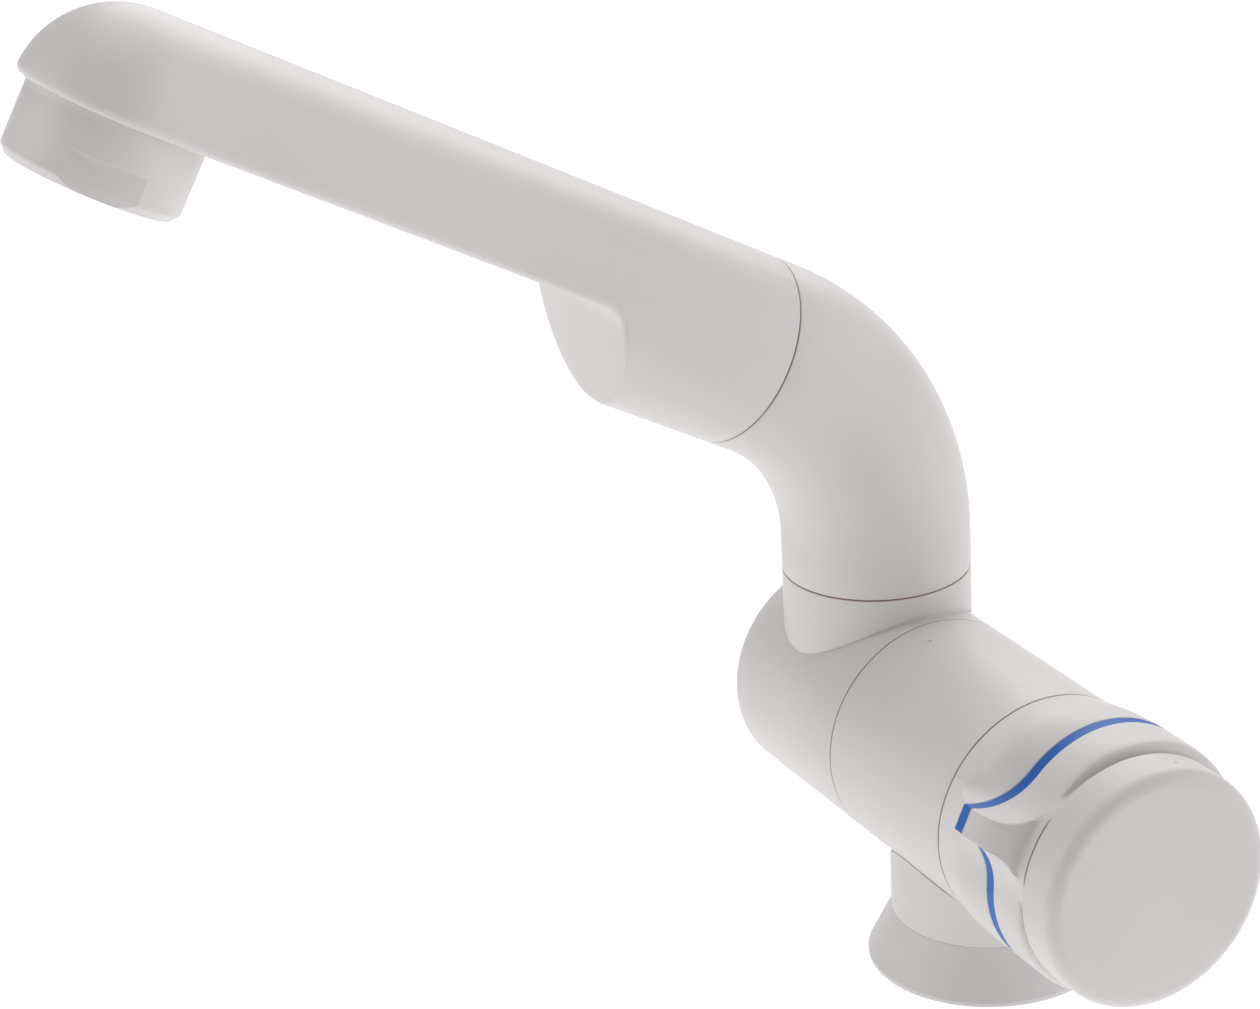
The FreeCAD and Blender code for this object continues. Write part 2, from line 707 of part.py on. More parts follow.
def outlet_cup():
    bottom = -cup_height
    cup = outlet_rod(cup_radius, bottom, -push_fit)
    rim = [edge for edge in cup.Edges
           if isinstance(edge.Curve, Part.Circle) and abs(edge.Curve.Center.y - bottom) < 0.01]
    cup = cup.makeFillet(cup_edge, rim)
    for side in (-1, 1):
        x_from = cup_flat_distance if side > 0 else -cup_flat_distance - cup_radius
        flat = Part.makeBox(cup_radius, cup_flat_height, 2*cup_radius,
                            vec(x_from, bottom, outlet_reach - cup_radius))
        cup = cup.cut(flat)
    cup = cup.fuse(outlet_rod(cup_thread_radius, -push_fit, cup_thread_length - push_fit))
    cup = cup.cut(outlet_rod(cup_mouth_radius, bottom, bottom + cup_mouth_depth + insert_thickness))
    cup = cup.cut(outlet_rod(cup_bore, bottom, cup_thread_length))
    return in_spout(cup.removeSplitter())


def outlet_insert():
    """Jet plate with rings of small holes round one in the middle."""
    bottom = -cup_height + cup_mouth_depth
    plate = outlet_rod(cup_mouth_radius - push_fit, bottom, bottom + insert_thickness - push_fit)
    holes = [outlet_rod(insert_hole, bottom, bottom + insert_thickness)]
    for ring in range(1, insert_rings + 1):
        count = 6*ring
        for k in range(count):
            angle = math.radians(360.0*k/count)
            hole = holes[0].copy()
            hole.translate(vec(ring*insert_pitch*math.cos(angle), 0, ring*insert_pitch*math.sin(angle)))
            holes.append(hole)
    return in_spout(plate.cut(Part.makeCompound(holes)))


def outlet_washer_ring():
    top = cup_thread_length
    return in_spout(outlet_rod(cup_thread_radius, top, top + outlet_washer).cut(
        outlet_rod(cup_bore, top, top + outlet_washer)))


# Knob. Its outlines are drawn with the wing along -y, then turned to the wing's angle.

def knob_point(x, along, across):
    return vec(x, -along, body_axis_z + across)


def lobe_points(inset=0.0):
    """Upper half of the lobed outline: tip corner, scoop's middle and end, cheek's middle and end."""
    centre_across = wing_tip_half + math.sqrt(scoop_radius**2 - scoop_ahead**2)
    scoop_centre = (wing_tip + scoop_ahead, centre_across)
    reach = math.hypot(*scoop_centre)
    offset = knob_radius - cheek_radius
    spread = (reach**2 + offset**2 - (scoop_radius + cheek_radius)**2)/(2*reach*offset)
    cheek_angle = math.atan2(centre_across, scoop_centre[0]) + math.acos(spread)
    cheek_centre = (offset*math.cos(cheek_angle), offset*math.sin(cheek_angle))
    to_scoop = math.atan2(centre_across - cheek_centre[1], scoop_centre[0] - cheek_centre[0])
    cheek = cheek_radius - inset
    scoop = scoop_radius + inset
    tip = wing_tip - inset
    tip_angle = math.pi + math.acos((scoop_centre[0] - tip)/scoop)
    scoop_middle = (tip_angle + math.pi + to_scoop)/2
    cheek_middle = (to_scoop + cheek_angle)/2
    return [on_circle(scoop_centre, scoop, tip_angle),
            on_circle(scoop_centre, scoop, scoop_middle),
            on_circle(cheek_centre, cheek, to_scoop),
            on_circle(cheek_centre, cheek, cheek_middle),
            on_circle(cheek_centre, cheek, cheek_angle)]


def on_circle(centre, radius, angle):
    return centre[0] + radius*math.cos(angle), centre[1] + radius*math.sin(angle)


def closed_outline(x, upper):
    """Wire through the upper points and their mirror images, round at the back."""
    lower = [(along, -across) for along, across in upper]
    up = [knob_point(x, *point) for point in upper]
    low = [knob_point(x, *point) for point in lower]
    back = knob_point(x, -math.hypot(*upper[-1]), 0)
    return Part.Wire([Part.LineSegment(low[0], up[0]).toShape(),
                      Part.Arc(up[0], up[1], up[2]).toShape(),
                      Part.Arc(up[2], up[3], up[4]).toShape(),
                      Part.Arc(up[4], back, low[4]).toShape(),
                      Part.Arc(low[4], low[3], low[2]).toShape(),
                      Part.Arc(low[2], low[1], low[0]).toShape()])


def lobed(x, inset=0.0):
    return closed_outline(x, lobe_points(inset))


def collar_outline(x, tip, tip_angle, radii):
    """Nearly round section that breaks at the same angles as the lobed outline."""
    upper = [(tip, tip*math.tan(tip_angle))]
    for radius, (along, across) in zip(radii, lobe_points()[1:]):
        upper.append(on_circle((0, 0), radius, math.atan2(across, along)))
    return closed_outline(x, upper)


def turned(shape):
    """Turn a knob part from the drawing position to the wing's angle."""
    placed = shape.copy()
    placed.rotate(BODY_CENTRE, X_AXIS, -wing_angle)
    return placed


def knob_rear():
    along, across = lobe_points()[1]
    scoop_angle = math.atan2(across, along)
    seam_tip = body_radius*math.cos(seam_tip_share*scoop_angle)
    share = (crease_x - KNOB_REAR)/(ring_plane_x - KNOB_REAR)
    crease_tip = seam_tip + share*(wing_tip - seam_tip)
    seam = collar_outline(KNOB_REAR, seam_tip, seam_tip_share*scoop_angle, (body_radius,)*4)
    radii = [body_radius + swell for swell in crease_swell]
    crease = collar_outline(crease_x, crease_tip, crease_tip_share*scoop_angle, radii)
    shell = Part.makeLoft([seam, crease], True, True)
    shell = shell.fuse(Part.makeLoft([crease, lobed(ring_plane_x)], True, True))
    pocket_front = clip_x + clip_thickness + clip_room
    shell = shell.fuse(rod_x(hub_radius, ring_plane_x, hub_front_x))
    shell = shell.cut(rod_x(hub_pocket_radius, KNOB_REAR, pocket_front))
    return turned(shell.cut(drive_bore()))


def drive_bore():
    bore = rod_x(spindle_drive + push_fit, clip_x, hub_front_x)
    flat = Part.makeBox(hub_front_x - clip_x, 4*spindle_drive, spindle_drive,
                        vec(clip_x, -2*spindle_drive, body_axis_z + spindle_flat + push_fit))
    drive = bore.cut(flat)
    drive.rotate(BODY_CENTRE, X_AXIS, wing_angle)
    return drive


def blue_ring():
    wire = lobed(ring_plane_x, ring_recess)
    ring = Part.Face(wire).extrude(vec(ring_thickness, 0, 0))
    return turned(ring.cut(rod_x(hub_radius + push_fit, ring_plane_x, ring_plane_x + ring_thickness)))


def knob_front():
    """Lobed prism whose front is rounded: widely at the wing, tightly all round the rest."""
    start = ring_plane_x + ring_thickness
    prism = Part.Face(lobed(start)).extrude(vec(knob_front_x - start, 0, 0))
    blank = wing_nose(start).common(wing_wedge(start)).fuse(shoulder(start)).removeSplitter()
    shell = prism.common(blank)
    shell = shell.cut(rod_x(hub_radius + push_fit, start, hub_front_x))
    socket_from = knob_front_x - cap_spigot_length - cap_gap
    shell = shell.cut(rod_x(cap_spigot_radius + push_fit, socket_from, knob_front_x))
    shell = shell.cut(rod_x(screw_head_radius + cap_gap, hub_front_x, knob_front_x))
    return turned(shell)


def rounded_blank(start, outer, drop, run):
    """Turned blank with a quarter round from the outer radius down to the neck."""
    foot_x = knob_front_x - neck_length
    diagonal = math.sqrt(0.5)
    above = body_axis_z
    corner = vec(foot_x - run, 0, above + outer)
    middle = vec(foot_x - run + run*diagonal, 0, above + outer - drop + drop*diagonal)
    foot = vec(foot_x, 0, above + outer - drop)
    neck = vec(knob_front_x, 0, above + outer - drop)
    centre_front = vec(knob_front_x, 0, above)
    centre_rear = vec(start, 0, above)
    rim = vec(start, 0, above + outer)
    return revolved_x([Part.LineSegment(rim, corner).toShape(),
                       Part.Arc(corner, middle, foot).toShape(),
                       Part.LineSegment(foot, neck).toShape(),
                       Part.LineSegment(neck, centre_front).toShape(),
                       Part.LineSegment(centre_front, centre_rear).toShape(),
                       Part.LineSegment(centre_rear, rim).toShape()])


def wing_nose(start):
    return rounded_blank(start, nose_foot + nose_radius, nose_radius, nose_radius)


def shoulder(start):
    return rounded_blank(start, knob_radius, knob_radius - nose_foot, shoulder_round)


def wing_wedge(start):
    """Sector about the wing, in which the front has the wing's own large round."""
    reach = 2*wing_tip
    half = math.radians(nose_sector)
    corners = [knob_point(start, 0, 0),
               knob_point(start, reach*math.cos(half), reach*math.sin(half)),
               knob_point(start, reach*math.cos(half), -reach*math.sin(half))]
    face = Part.Face(Part.makePolygon(corners + corners[:1]))
    return face.extrude(vec(knob_front_x - start, 0, 0))


def cap_disc():
    back = knob_front_x + cap_gap
    front = knob_front_x + cap_length
    disc = rod_x(cap_radius, back, front)
    disc = round_edges(disc, cap_edge, circle_at_x(front, cap_radius))
    disc = round_edges(disc, cap_back_edge, circle_at_x(back, cap_radius))
    spigot_from = knob_front_x - cap_spigot_length
    spigot = rod_x(cap_spigot_radius, spigot_from, back).cut(
        rod_x(cap_spigot_radius - cap_spigot_wall, spigot_from, back))
    return turned(disc.fuse(spigot).removeSplitter())


def knob_screw():
    shank = rod_x(screw_radius - push_fit, hub_front_x - screw_length, hub_front_x)
    head = rod_x(screw_head_radius, hub_front_x, hub_front_x + screw_head_height)
    slot = Part.makeBox(screw_slot, 2*screw_head_radius, screw_slot,
                        vec(hub_front_x + screw_head_height - screw_slot, -screw_head_radius,
                            body_axis_z - screw_slot/2))
    return shank.fuse(head).removeSplitter().cut(slot)


PARTS = {
    "valve_housing": valve_housing,
    "deck_flange": deck_flange,
    "deck_gasket": deck_gasket,
    "threaded_shank": threaded_shank,
    "shank_o_ring": shank_o_ring,
    "fixing_washer": fixing_washer,
    "fixing_nut": fixing_nut,
    "inlet_tail": inlet_tail,
    "tail_o_ring": tail_o_ring,
    "seat_seal": seat_seal,
    "fixed_disc": fixed_disc,
    "moving_disc": moving_disc,
    "cartridge_body": cartridge_body,
    "cartridge_nut": cartridge_nut,
    "spindle": spindle,
    "spindle_clip": spindle_clip,
    "spindle_o_ring": spindle_o_ring,
    "fold_housing": fold_housing,
    "fold_bolt": fold_bolt,
    "fold_o_rings": fold_o_rings,
    "fold_thrust_washer": fold_thrust_washer,
    "rear_cap": rear_cap,
    "stub_lock_ring": lambda: at_stub(lock_ring()),
    "elbow": elbow,
    "lower_spigot": lambda: at_stub(swivel_spigot()),
    "lower_swivel_rings": lambda: at_stub(swivel_rings()),
    "upper_spigot": lambda: upper_joint(swivel_spigot()),
    "upper_swivel_rings": lambda: upper_joint(swivel_rings()),
    "spout_lock_ring": lambda: upper_joint(lock_ring()),
    "spout": spout,
    "outlet_cup": outlet_cup,
    "outlet_insert": outlet_insert,
    "outlet_washer": outlet_washer_ring,
    "knob_rear": knob_rear,
    "blue_ring": blue_ring,
    "knob_front": knob_front,
    "cap_disc": cap_disc,
    "knob_screw": knob_screw,
}

os.makedirs("parts", exist_ok=True)
for name, build in PARTS.items():
    shape = build()
    shape.exportStep("parts/" + name + ".step")
    print(name, "solids", len(shape.Solids), "volume", round(shape.Volume), "valid", shape.isValid())
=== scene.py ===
# %% [markdown]
# A folding cold water tap in white plastic, with a blue ring in its knob.
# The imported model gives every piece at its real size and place. This file gives the
# pieces their finish, and models again those whose surface has to be smooth close up.
# Everything is in metres, +Z is up, the spout points towards -Y and the knob is on +X.

import json
import math

import bpy
from mathutils import Matrix, Vector


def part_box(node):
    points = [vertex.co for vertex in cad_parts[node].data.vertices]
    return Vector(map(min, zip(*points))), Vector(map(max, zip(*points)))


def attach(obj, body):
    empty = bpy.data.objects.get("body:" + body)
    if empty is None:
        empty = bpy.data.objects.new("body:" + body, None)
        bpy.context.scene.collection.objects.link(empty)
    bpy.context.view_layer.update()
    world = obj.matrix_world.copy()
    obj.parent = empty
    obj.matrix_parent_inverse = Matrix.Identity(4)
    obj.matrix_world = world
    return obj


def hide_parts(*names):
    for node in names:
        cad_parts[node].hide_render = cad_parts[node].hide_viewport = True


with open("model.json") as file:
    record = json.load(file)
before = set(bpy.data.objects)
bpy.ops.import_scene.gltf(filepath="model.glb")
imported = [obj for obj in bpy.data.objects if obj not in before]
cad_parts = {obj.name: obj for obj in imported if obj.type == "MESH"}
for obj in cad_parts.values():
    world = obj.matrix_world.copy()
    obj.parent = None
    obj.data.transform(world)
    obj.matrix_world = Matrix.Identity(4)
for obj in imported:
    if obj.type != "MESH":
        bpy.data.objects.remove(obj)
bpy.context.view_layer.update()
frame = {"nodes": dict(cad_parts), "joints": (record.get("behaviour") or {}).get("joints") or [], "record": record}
MM = 0.001

# %% [markdown]
# The photograph was taken from the knob's side, a little above the tap, with a long lens.
# The camera's place and its three angles were worked out from the tap's own seams, whose
# circles show as ellipses. A long lens far away keeps the spout and the knob in proportion.

# %% Camera
VIEW_AZIMUTH = math.radians(64.1)
VIEW_ELEVATION = math.radians(22.75)
VIEW_ROLL = math.radians(-3.1)
CAMERA_PLACE = Vector((453.38, -282.42, 306.61)) * MM
FOCAL_LENGTH_PX = 3623.28
PHOTO_WIDTH_PX = 1260
SENSOR_WIDTH = 36.0

back = Vector((math.sin(VIEW_AZIMUTH)*math.cos(VIEW_ELEVATION),
               -math.cos(VIEW_AZIMUTH)*math.cos(VIEW_ELEVATION),
               math.sin(VIEW_ELEVATION)))
level = Vector((math.cos(VIEW_AZIMUTH), math.sin(VIEW_AZIMUTH), 0))
upright = back.cross(level)
camera_right = math.cos(VIEW_ROLL)*level + math.sin(VIEW_ROLL)*upright
camera_up = math.cos(VIEW_ROLL)*upright - math.sin(VIEW_ROLL)*level
turn = Matrix((camera_right, camera_up, back)).transposed()
bpy.ops.object.camera_add(location=CAMERA_PLACE, rotation=turn.to_euler())
camera = bpy.context.object
camera.name = "camera"
camera.data.sensor_width = SENSOR_WIDTH
camera.data.lens = FOCAL_LENGTH_PX/PHOTO_WIDTH_PX*SENSOR_WIDTH
bpy.context.scene.camera = camera
print("lens", round(camera.data.lens, 2), "mm")

# %% [markdown]
# The tap stands on a white worktop in very even light: the background burns out to white
# and the plastic's edges melt into it. A worktop that glows white does most of that. Large lamps
# behind and beside the tap lift its edges, and the side towards the camera stays a little darker.
# The world shows as white where it is seen, and adds only a little light of its own.

# %% Worktop and light
FLOOR_SIZE = 8.0
FLOOR_COLOUR = (0.12, 0.12, 0.12, 1)
FLOOR_ROUGHNESS = 0.9
FLOOR_GLOW = 1.0
WHITE = (1, 1, 1, 1)
WORLD_COLOUR = (1.0, 0.995, 0.985, 1)
WORLD_LIGHT = 0.13
LAMPS = {
    "back_lamp": {"at": (-0.75, 0.55, 0.75), "size": 1.0, "power": 7.0},
    "spout_lamp": {"at": (-0.35, -1.05, 0.55), "size": 1.0, "power": 4.2},
    "top_lamp": {"at": (-0.10, 0.05, 1.25), "size": 1.0, "power": 5.0},
    "right_lamp": {"at": (0.62, 0.74, 0.42), "size": 0.9, "power": 3.8},
}
AIM = Vector((-0.02, -0.05, 0.07))

bpy.context.scene.view_settings.view_transform = "Standard"
bpy.ops.mesh.primitive_plane_add(size=FLOOR_SIZE)
floor = bpy.context.object
floor.name = "worktop"
floor_finish = bpy.data.materials.new("white_worktop")
floor_finish.use_nodes = True
floor_shader = floor_finish.node_tree.nodes["Principled BSDF"]
floor_shader.inputs["Base Color"].default_value = FLOOR_COLOUR
floor_shader.inputs["Roughness"].default_value = FLOOR_ROUGHNESS
floor_shader.inputs["Emission Color"].default_value = WHITE
floor_shader.inputs["Emission Strength"].default_value = FLOOR_GLOW
floor.data.materials.append(floor_finish)

world = bpy.data.worlds.new("studio")
world.use_nodes = True
world_nodes = world.node_tree.nodes
world_links = world.node_tree.links
dim = world_nodes["Background"]
dim.inputs["Color"].default_value = WORLD_COLOUR
dim.inputs["Strength"].default_value = WORLD_LIGHT
bright = world_nodes.new("ShaderNodeBackground")
bright.inputs["Color"].default_value = WHITE
bright.inputs["Strength"].default_value = FLOOR_GLOW
seen_or_lighting = world_nodes.new("ShaderNodeMixShader")
light_path = world_nodes.new("ShaderNodeLightPath")
world_links.new(light_path.outputs["Is Camera Ray"], seen_or_lighting.inputs[0])
world_links.new(dim.outputs[0], seen_or_lighting.inputs[1])
world_links.new(bright.outputs[0], seen_or_lighting.inputs[2])
world_links.new(seen_or_lighting.outputs[0], world_nodes["World Output"].inputs["Surface"])
bpy.context.scene.world = world

for name, lamp in LAMPS.items():
    place = Vector(lamp["at"])
    facing = (place - AIM).to_track_quat("Z", "Y").to_euler()
    bpy.ops.object.light_add(type="AREA", location=place, rotation=facing)
    light = bpy.context.object
    light.name = name
    light.data.size = lamp["size"]
    light.data.energy = lamp["power"]
print("lamps", len(LAMPS))

# %% [markdown]
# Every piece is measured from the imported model, so the sizes below are read from its boxes.
# The frames turn a piece that is drawn upright about its own axis into its place: along the
# body, along the slanting spout, on the outlet's axis, or in the knob at the wing's angle.
# The seams look finer than the clearance that the model needs, so each rim beside one is drawn
# a little nearer to it. Pieces pushed together keep a fit of 0.02 mm, and a cutting tool starts
# 1 mm outside the face that it cuts.

# %% Sizes and frames
BODY_OF = {name: body
           for body, names in frame["record"]["behaviour"]["bodies"].items()
           for name in names}
TURNS = 192
MERGE_DISTANCE = 1e-6
SMOOTH_ANGLE = math.radians(34)
SEAM_EDGE = 0.22
SEAM_CLOSE = 0.07
PUSH_FIT = 0.02
CLEAR = 1.0


def mm_box(node):
    """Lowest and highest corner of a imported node, in millimetres."""
    low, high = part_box(node)
    return low/MM, high/MM


elbow_low, elbow_high = mm_box("elbow")
fold_low, fold_high = mm_box("fold_housing")
fixed_low, fixed_high = mm_box("valve_housing")
cap_low, cap_high = mm_box("cap_disc")
knob_low, knob_high = mm_box("knob_rear")
ring_low = mm_box("blue_ring")[0]
front_high = mm_box("knob_front")[1]
flange_high = mm_box("deck_flange")[1]
shank_high = mm_box("threaded_shank")[1]
twist = next(joint for joint in frame["joints"] if joint["name"] == "spout_twist")
SPOUT_TILT = math.acos(twist["axis"][2])
TUBE_R = (elbow_high.x - elbow_low.x)/2
STUB_X = (elbow_high.x + elbow_low.x)/2
BODY_R = (fixed_high.y - fixed_low.y)/2
BODY_Z = (cap_low.z + cap_high.z)/2
SEAM_GAP = elbow_low.z - fold_high.z - 2*SEAM_CLOSE
ELBOW_SEAM_Z = (elbow_low.z + fold_high.z)/2
SPOUT_SEAM = Vector(twist["pos_m"])/MM
CAP_SPIGOT = 3.5
OUTLET_REACH = 115.3
WING_ANGLE = 25.5


def moved(x, y, z):
    return Matrix.Translation(Vector((x, y, z))*MM)


def turned(degrees, axis):
    return Matrix.Rotation(math.radians(degrees), 4, axis)


DECK = Matrix.Identity(4)
BODY = moved(0, 0, BODY_Z) @ turned(90, "Y")
STUB = moved(STUB_X, 0, ELBOW_SEAM_Z)
SPOUT = moved(*SPOUT_SEAM) @ Matrix.Rotation(SPOUT_TILT, 4, "X")
OUTLET = SPOUT @ moved(0, 0, OUTLET_REACH) @ turned(-90, "X")
KNOB = moved(0, 0, BODY_Z) @ turned(-WING_ANGLE, "X")
print("tube", round(TUBE_R, 2), "body", round(BODY_R, 2), "stub", round(STUB_X, 2))

# %% [markdown]
# A material is a tree of nodes. Writing the tree link by link hides the idea, so two small
# classes do the wiring. A Value is one output of a node, and arithmetic on it adds Math nodes.
# A Finish is a material with one Principled shader, and its node method adds any other node.
# The Mix node keeps its sockets for numbers, vectors and colours in one list, so the sockets
# for colours are named here by their places in it.

# %% Node arithmetic
MIX_FIRST_COLOUR = 6
MIX_SECOND_COLOUR = 7
MIX_RESULT_COLOUR = 2


class Value:
    """One output of a node. Arithmetic on it adds Math nodes to the same material."""

    def __init__(self, finish, socket):
        self.finish = finish
        self.socket = socket

    def math(self, operation, first, second):
        return self.finish.node("ShaderNodeMath", {"operation": operation}, {0: first, 1: second})

    def __add__(self, other):
        return self.math("ADD", self, other)

    def __radd__(self, other):
        return self.math("ADD", other, self)

    def __sub__(self, other):
        return self.math("SUBTRACT", self, other)

    def __rsub__(self, other):
        return self.math("SUBTRACT", other, self)

    def __mul__(self, other):
        return self.math("MULTIPLY", self, other)

    def __rmul__(self, other):
        return self.math("MULTIPLY", other, self)

    def below(self, limit):
        return self.math("LESS_THAN", self, limit)

    def faded(self, low, high):
        """0 at low and under, 1 at high and over, smooth between."""
        return self.finish.node("ShaderNodeMapRange", {"interpolation_type": "SMOOTHSTEP"},
                                {"Value": self, "From Min": low, "From Max": high})


class Finish:
    """A material with one Principled shader, whose sockets are set by name."""

    def __init__(self, name, **sockets):
        self.material = bpy.data.materials.new(name)
        self.material.use_nodes = True
        self.tree = self.material.node_tree
        self.shader = self.tree.nodes["Principled BSDF"]
        self.set(**sockets)

    def set(self, **sockets):
        for name, value in sockets.items():
            self.fill(self.shader.inputs[name.replace("_", " ").title()], value)

    def fill(self, socket, value):
        if isinstance(value, Value):
            self.tree.links.new(value.socket, socket)
        else:
            socket.default_value = value

    def node(self, kind, settings, inputs, output=0):
        added = self.tree.nodes.new(kind)
        for name, value in settings.items():
            setattr(added, name, value)
        for name, value in inputs.items():
            self.fill(added.inputs[name], value)
        return Value(self, added.outputs[output])

    def place(self):
        return self.node("ShaderNodeTexCoord", {}, {}, "Object")

    def noise(self, grain, detail=2.0):
        """Noise whose features are about this many metres across."""
        return self.node("ShaderNodeTexNoise", {},
                         {"Vector": self.place(), "Scale": 1/grain, "Detail": detail})

    def mixed(self, share, first, second):
        """Blend of two colours."""
        inputs = {0: share, MIX_FIRST_COLOUR: first, MIX_SECOND_COLOUR: second}
        return self.node("ShaderNodeMix", {"data_type": "RGBA"}, inputs, MIX_RESULT_COLOUR)

    def bump(self, height, strength, distance):
        return self.node("ShaderNodeBump", {},
                         {"Strength": strength, "Distance": distance, "Height": height})


# %% [markdown]
# The white plastic is a satin moulding: its gloss is broken up by a fine mould texture of
# about a fifth of a millimetre. Its tone drifts very slightly from place to place, and
# handling has left a few tiny scuffs. The scuffs come from a cell pattern: in three cells of
# ten the very middle is a mark, which shows where the surface happens to meet it. What lies
# within about a fifth of a millimetre of one of the five seams' planes between the white pieces
# is a darker brown, except down at the flange: partly dust settled in the seams, partly painted
# shade in the seam gaps.

# %% White plastic
PLASTIC_LIGHT = (0.735, 0.708, 0.702, 1)
PLASTIC_SHADE = (0.700, 0.673, 0.666, 1)
PLASTIC_ROUGHNESS = 0.40
TONE_GRAIN = 34*MM
TONE_SPAN = (0.35, 0.65)
HANDLING_GRAIN = 9*MM
HANDLING_WEAR = 0.10
MOULD_GRAIN = 0.22*MM
MOULD_DEPTH = 0.03*MM
MOULD_STRENGTH = 0.16
SCUFF_COLOUR = (0.34, 0.31, 0.29, 1)
SCUFF_STRENGTH = 0.55
SCUFF_WEAR = 0.2
SCUFF_CELL = 11*MM
SCUFF_SIZE = 0.034
SCUFF_SHARE = 0.30
FRAY_GRAIN = 0.6*MM
FRAY_REACH = 0.7*MM
# Brown of the dust in the seams, darkened as painted shade for the seam gaps.
DUST_AND_SHADE_COLOUR = (0.540, 0.392, 0.340, 1)
DUST_AND_SHADE_STRENGTH = 0.85
DUST_AND_SHADE_REACH = 0.22*MM
DUST_AND_SHADE_FADE = 0.14*MM
DUST_AND_SHADE_LOW = 12*MM


def seam_plane(place, across):
    """Plane of a seam: a point of it, given in millimetres, and its normal."""
    return {"through": Vector(place)*MM, "across": Vector(across)}


SEAM_PLANES = [
    seam_plane(((fold_high.x + fixed_low.x)/2, 0, 0), (1, 0, 0)),
    seam_plane(((fixed_high.x + knob_low.x)/2, 0, 0), (1, 0, 0)),
    seam_plane(((front_high.x + cap_low.x + CAP_SPIGOT)/2, 0, 0), (1, 0, 0)),
    seam_plane((0, 0, ELBOW_SEAM_Z), (0, 0, 1)),
    seam_plane(SPOUT_SEAM, twist["axis"]),
]


def scuffs(finish):
    """Mask of small marks: the middle of a few cells, frayed by noise."""
    frayed = finish.node("ShaderNodeVectorMath", {"operation": "MULTIPLY_ADD"},
                         {0: finish.noise(FRAY_GRAIN), 1: (FRAY_REACH,)*3, 2: finish.place()})
    cells = {"Vector": frayed, "Scale": 1/SCUFF_CELL}
    distance = finish.node("ShaderNodeTexVoronoi", {}, cells, "Distance")
    chance = finish.node("ShaderNodeSeparateColor", {},
                         {0: finish.node("ShaderNodeTexVoronoi", {}, cells, "Color")})
    return distance.below(SCUFF_SIZE)*chance.below(SCUFF_SHARE)


def seam_dust_and_shade(finish):
    """Mask of the seam dust and painted seam shade: 1 next to a seam's plane, 0 away from it and down at the
    flange.
    """
    height = finish.node("ShaderNodeSeparateXYZ", {}, {0: finish.place()}, "Z")
    dust_and_shade = 0.0
    for plane in SEAM_PLANES:
        along = finish.node("ShaderNodeVectorMath", {"operation": "DOT_PRODUCT"},
                            {0: finish.place(), 1: plane["across"]}, "Value")
        away = finish.node("ShaderNodeMath", {"operation": "ABSOLUTE"},
                           {0: along - plane["through"].dot(plane["across"])})
        dust_and_shade = dust_and_shade + (1.0 - away.faded(DUST_AND_SHADE_REACH - DUST_AND_SHADE_FADE, DUST_AND_SHADE_REACH))
    return dust_and_shade*(1.0 - height.below(DUST_AND_SHADE_LOW))


def white_plastic():
    finish = Finish("white_satin_plastic")
    tone = finish.noise(TONE_GRAIN).faded(*TONE_SPAN)
    plain = finish.mixed(tone, PLASTIC_SHADE, PLASTIC_LIGHT)
    marks = scuffs(finish)
    scuffed = finish.mixed(marks*SCUFF_STRENGTH, plain, SCUFF_COLOUR)
    # The seams get a darker brown: dust, and painted shade in the gaps between pieces.
    finish.set(base_color=finish.mixed(seam_dust_and_shade(finish)*DUST_AND_SHADE_STRENGTH, scuffed, DUST_AND_SHADE_COLOUR))
    worn = PLASTIC_ROUGHNESS + finish.noise(HANDLING_GRAIN)*HANDLING_WEAR
    finish.set(roughness=worn + marks*SCUFF_WEAR,
               normal=finish.bump(finish.noise(MOULD_GRAIN), MOULD_STRENGTH, MOULD_DEPTH))
    return finish.material


# %% [markdown]
# The other finishes are plainer, but none is one flat colour. The blue ring is the same kind of
# plastic, dyed. Brass and steel parts have fine turning marks, the ceramic discs are almost
# pure white and polished, and the rubber is dull with a dusty bloom.

# %% Other finishes
BLUE_DEEP = (0.003, 0.108, 0.455, 1)
BLUE_LIGHT = (0.006, 0.132, 0.520, 1)
MOULDED = {"tone": (0.3, 0.7), "wear": 0.08, "strength": 0.14}
LATHE_MARKS = {"grain": 0.35*MM, "detail": 4.0, "wear": 0.14, "strength": 0.25, "depth": 0.02*MM}
TARNISH = {"grain": 7*MM, "span": (0.35, 0.75)}


def moulded(name, dark, light, roughness):
    finish = Finish(name)
    tone = finish.noise(TONE_GRAIN/2).faded(*MOULDED["tone"])
    finish.set(base_color=finish.mixed(tone, dark, light),
               roughness=roughness + finish.noise(HANDLING_GRAIN)*MOULDED["wear"],
               normal=finish.bump(finish.noise(MOULD_GRAIN), MOULDED["strength"], MOULD_DEPTH))
    return finish.material


def turned_metal(name, dark, light, roughness):
    """Metal whose surface keeps faint marks of the lathe."""
    finish = Finish(name, metallic=1.0)
    marks = finish.noise(LATHE_MARKS["grain"], LATHE_MARKS["detail"])
    tarnish = finish.noise(TARNISH["grain"]).faded(*TARNISH["span"])
    finish.set(base_color=finish.mixed(tarnish, light, dark),
               roughness=roughness + marks*LATHE_MARKS["wear"],
               normal=finish.bump(marks, LATHE_MARKS["strength"], LATHE_MARKS["depth"]))
    return finish.material


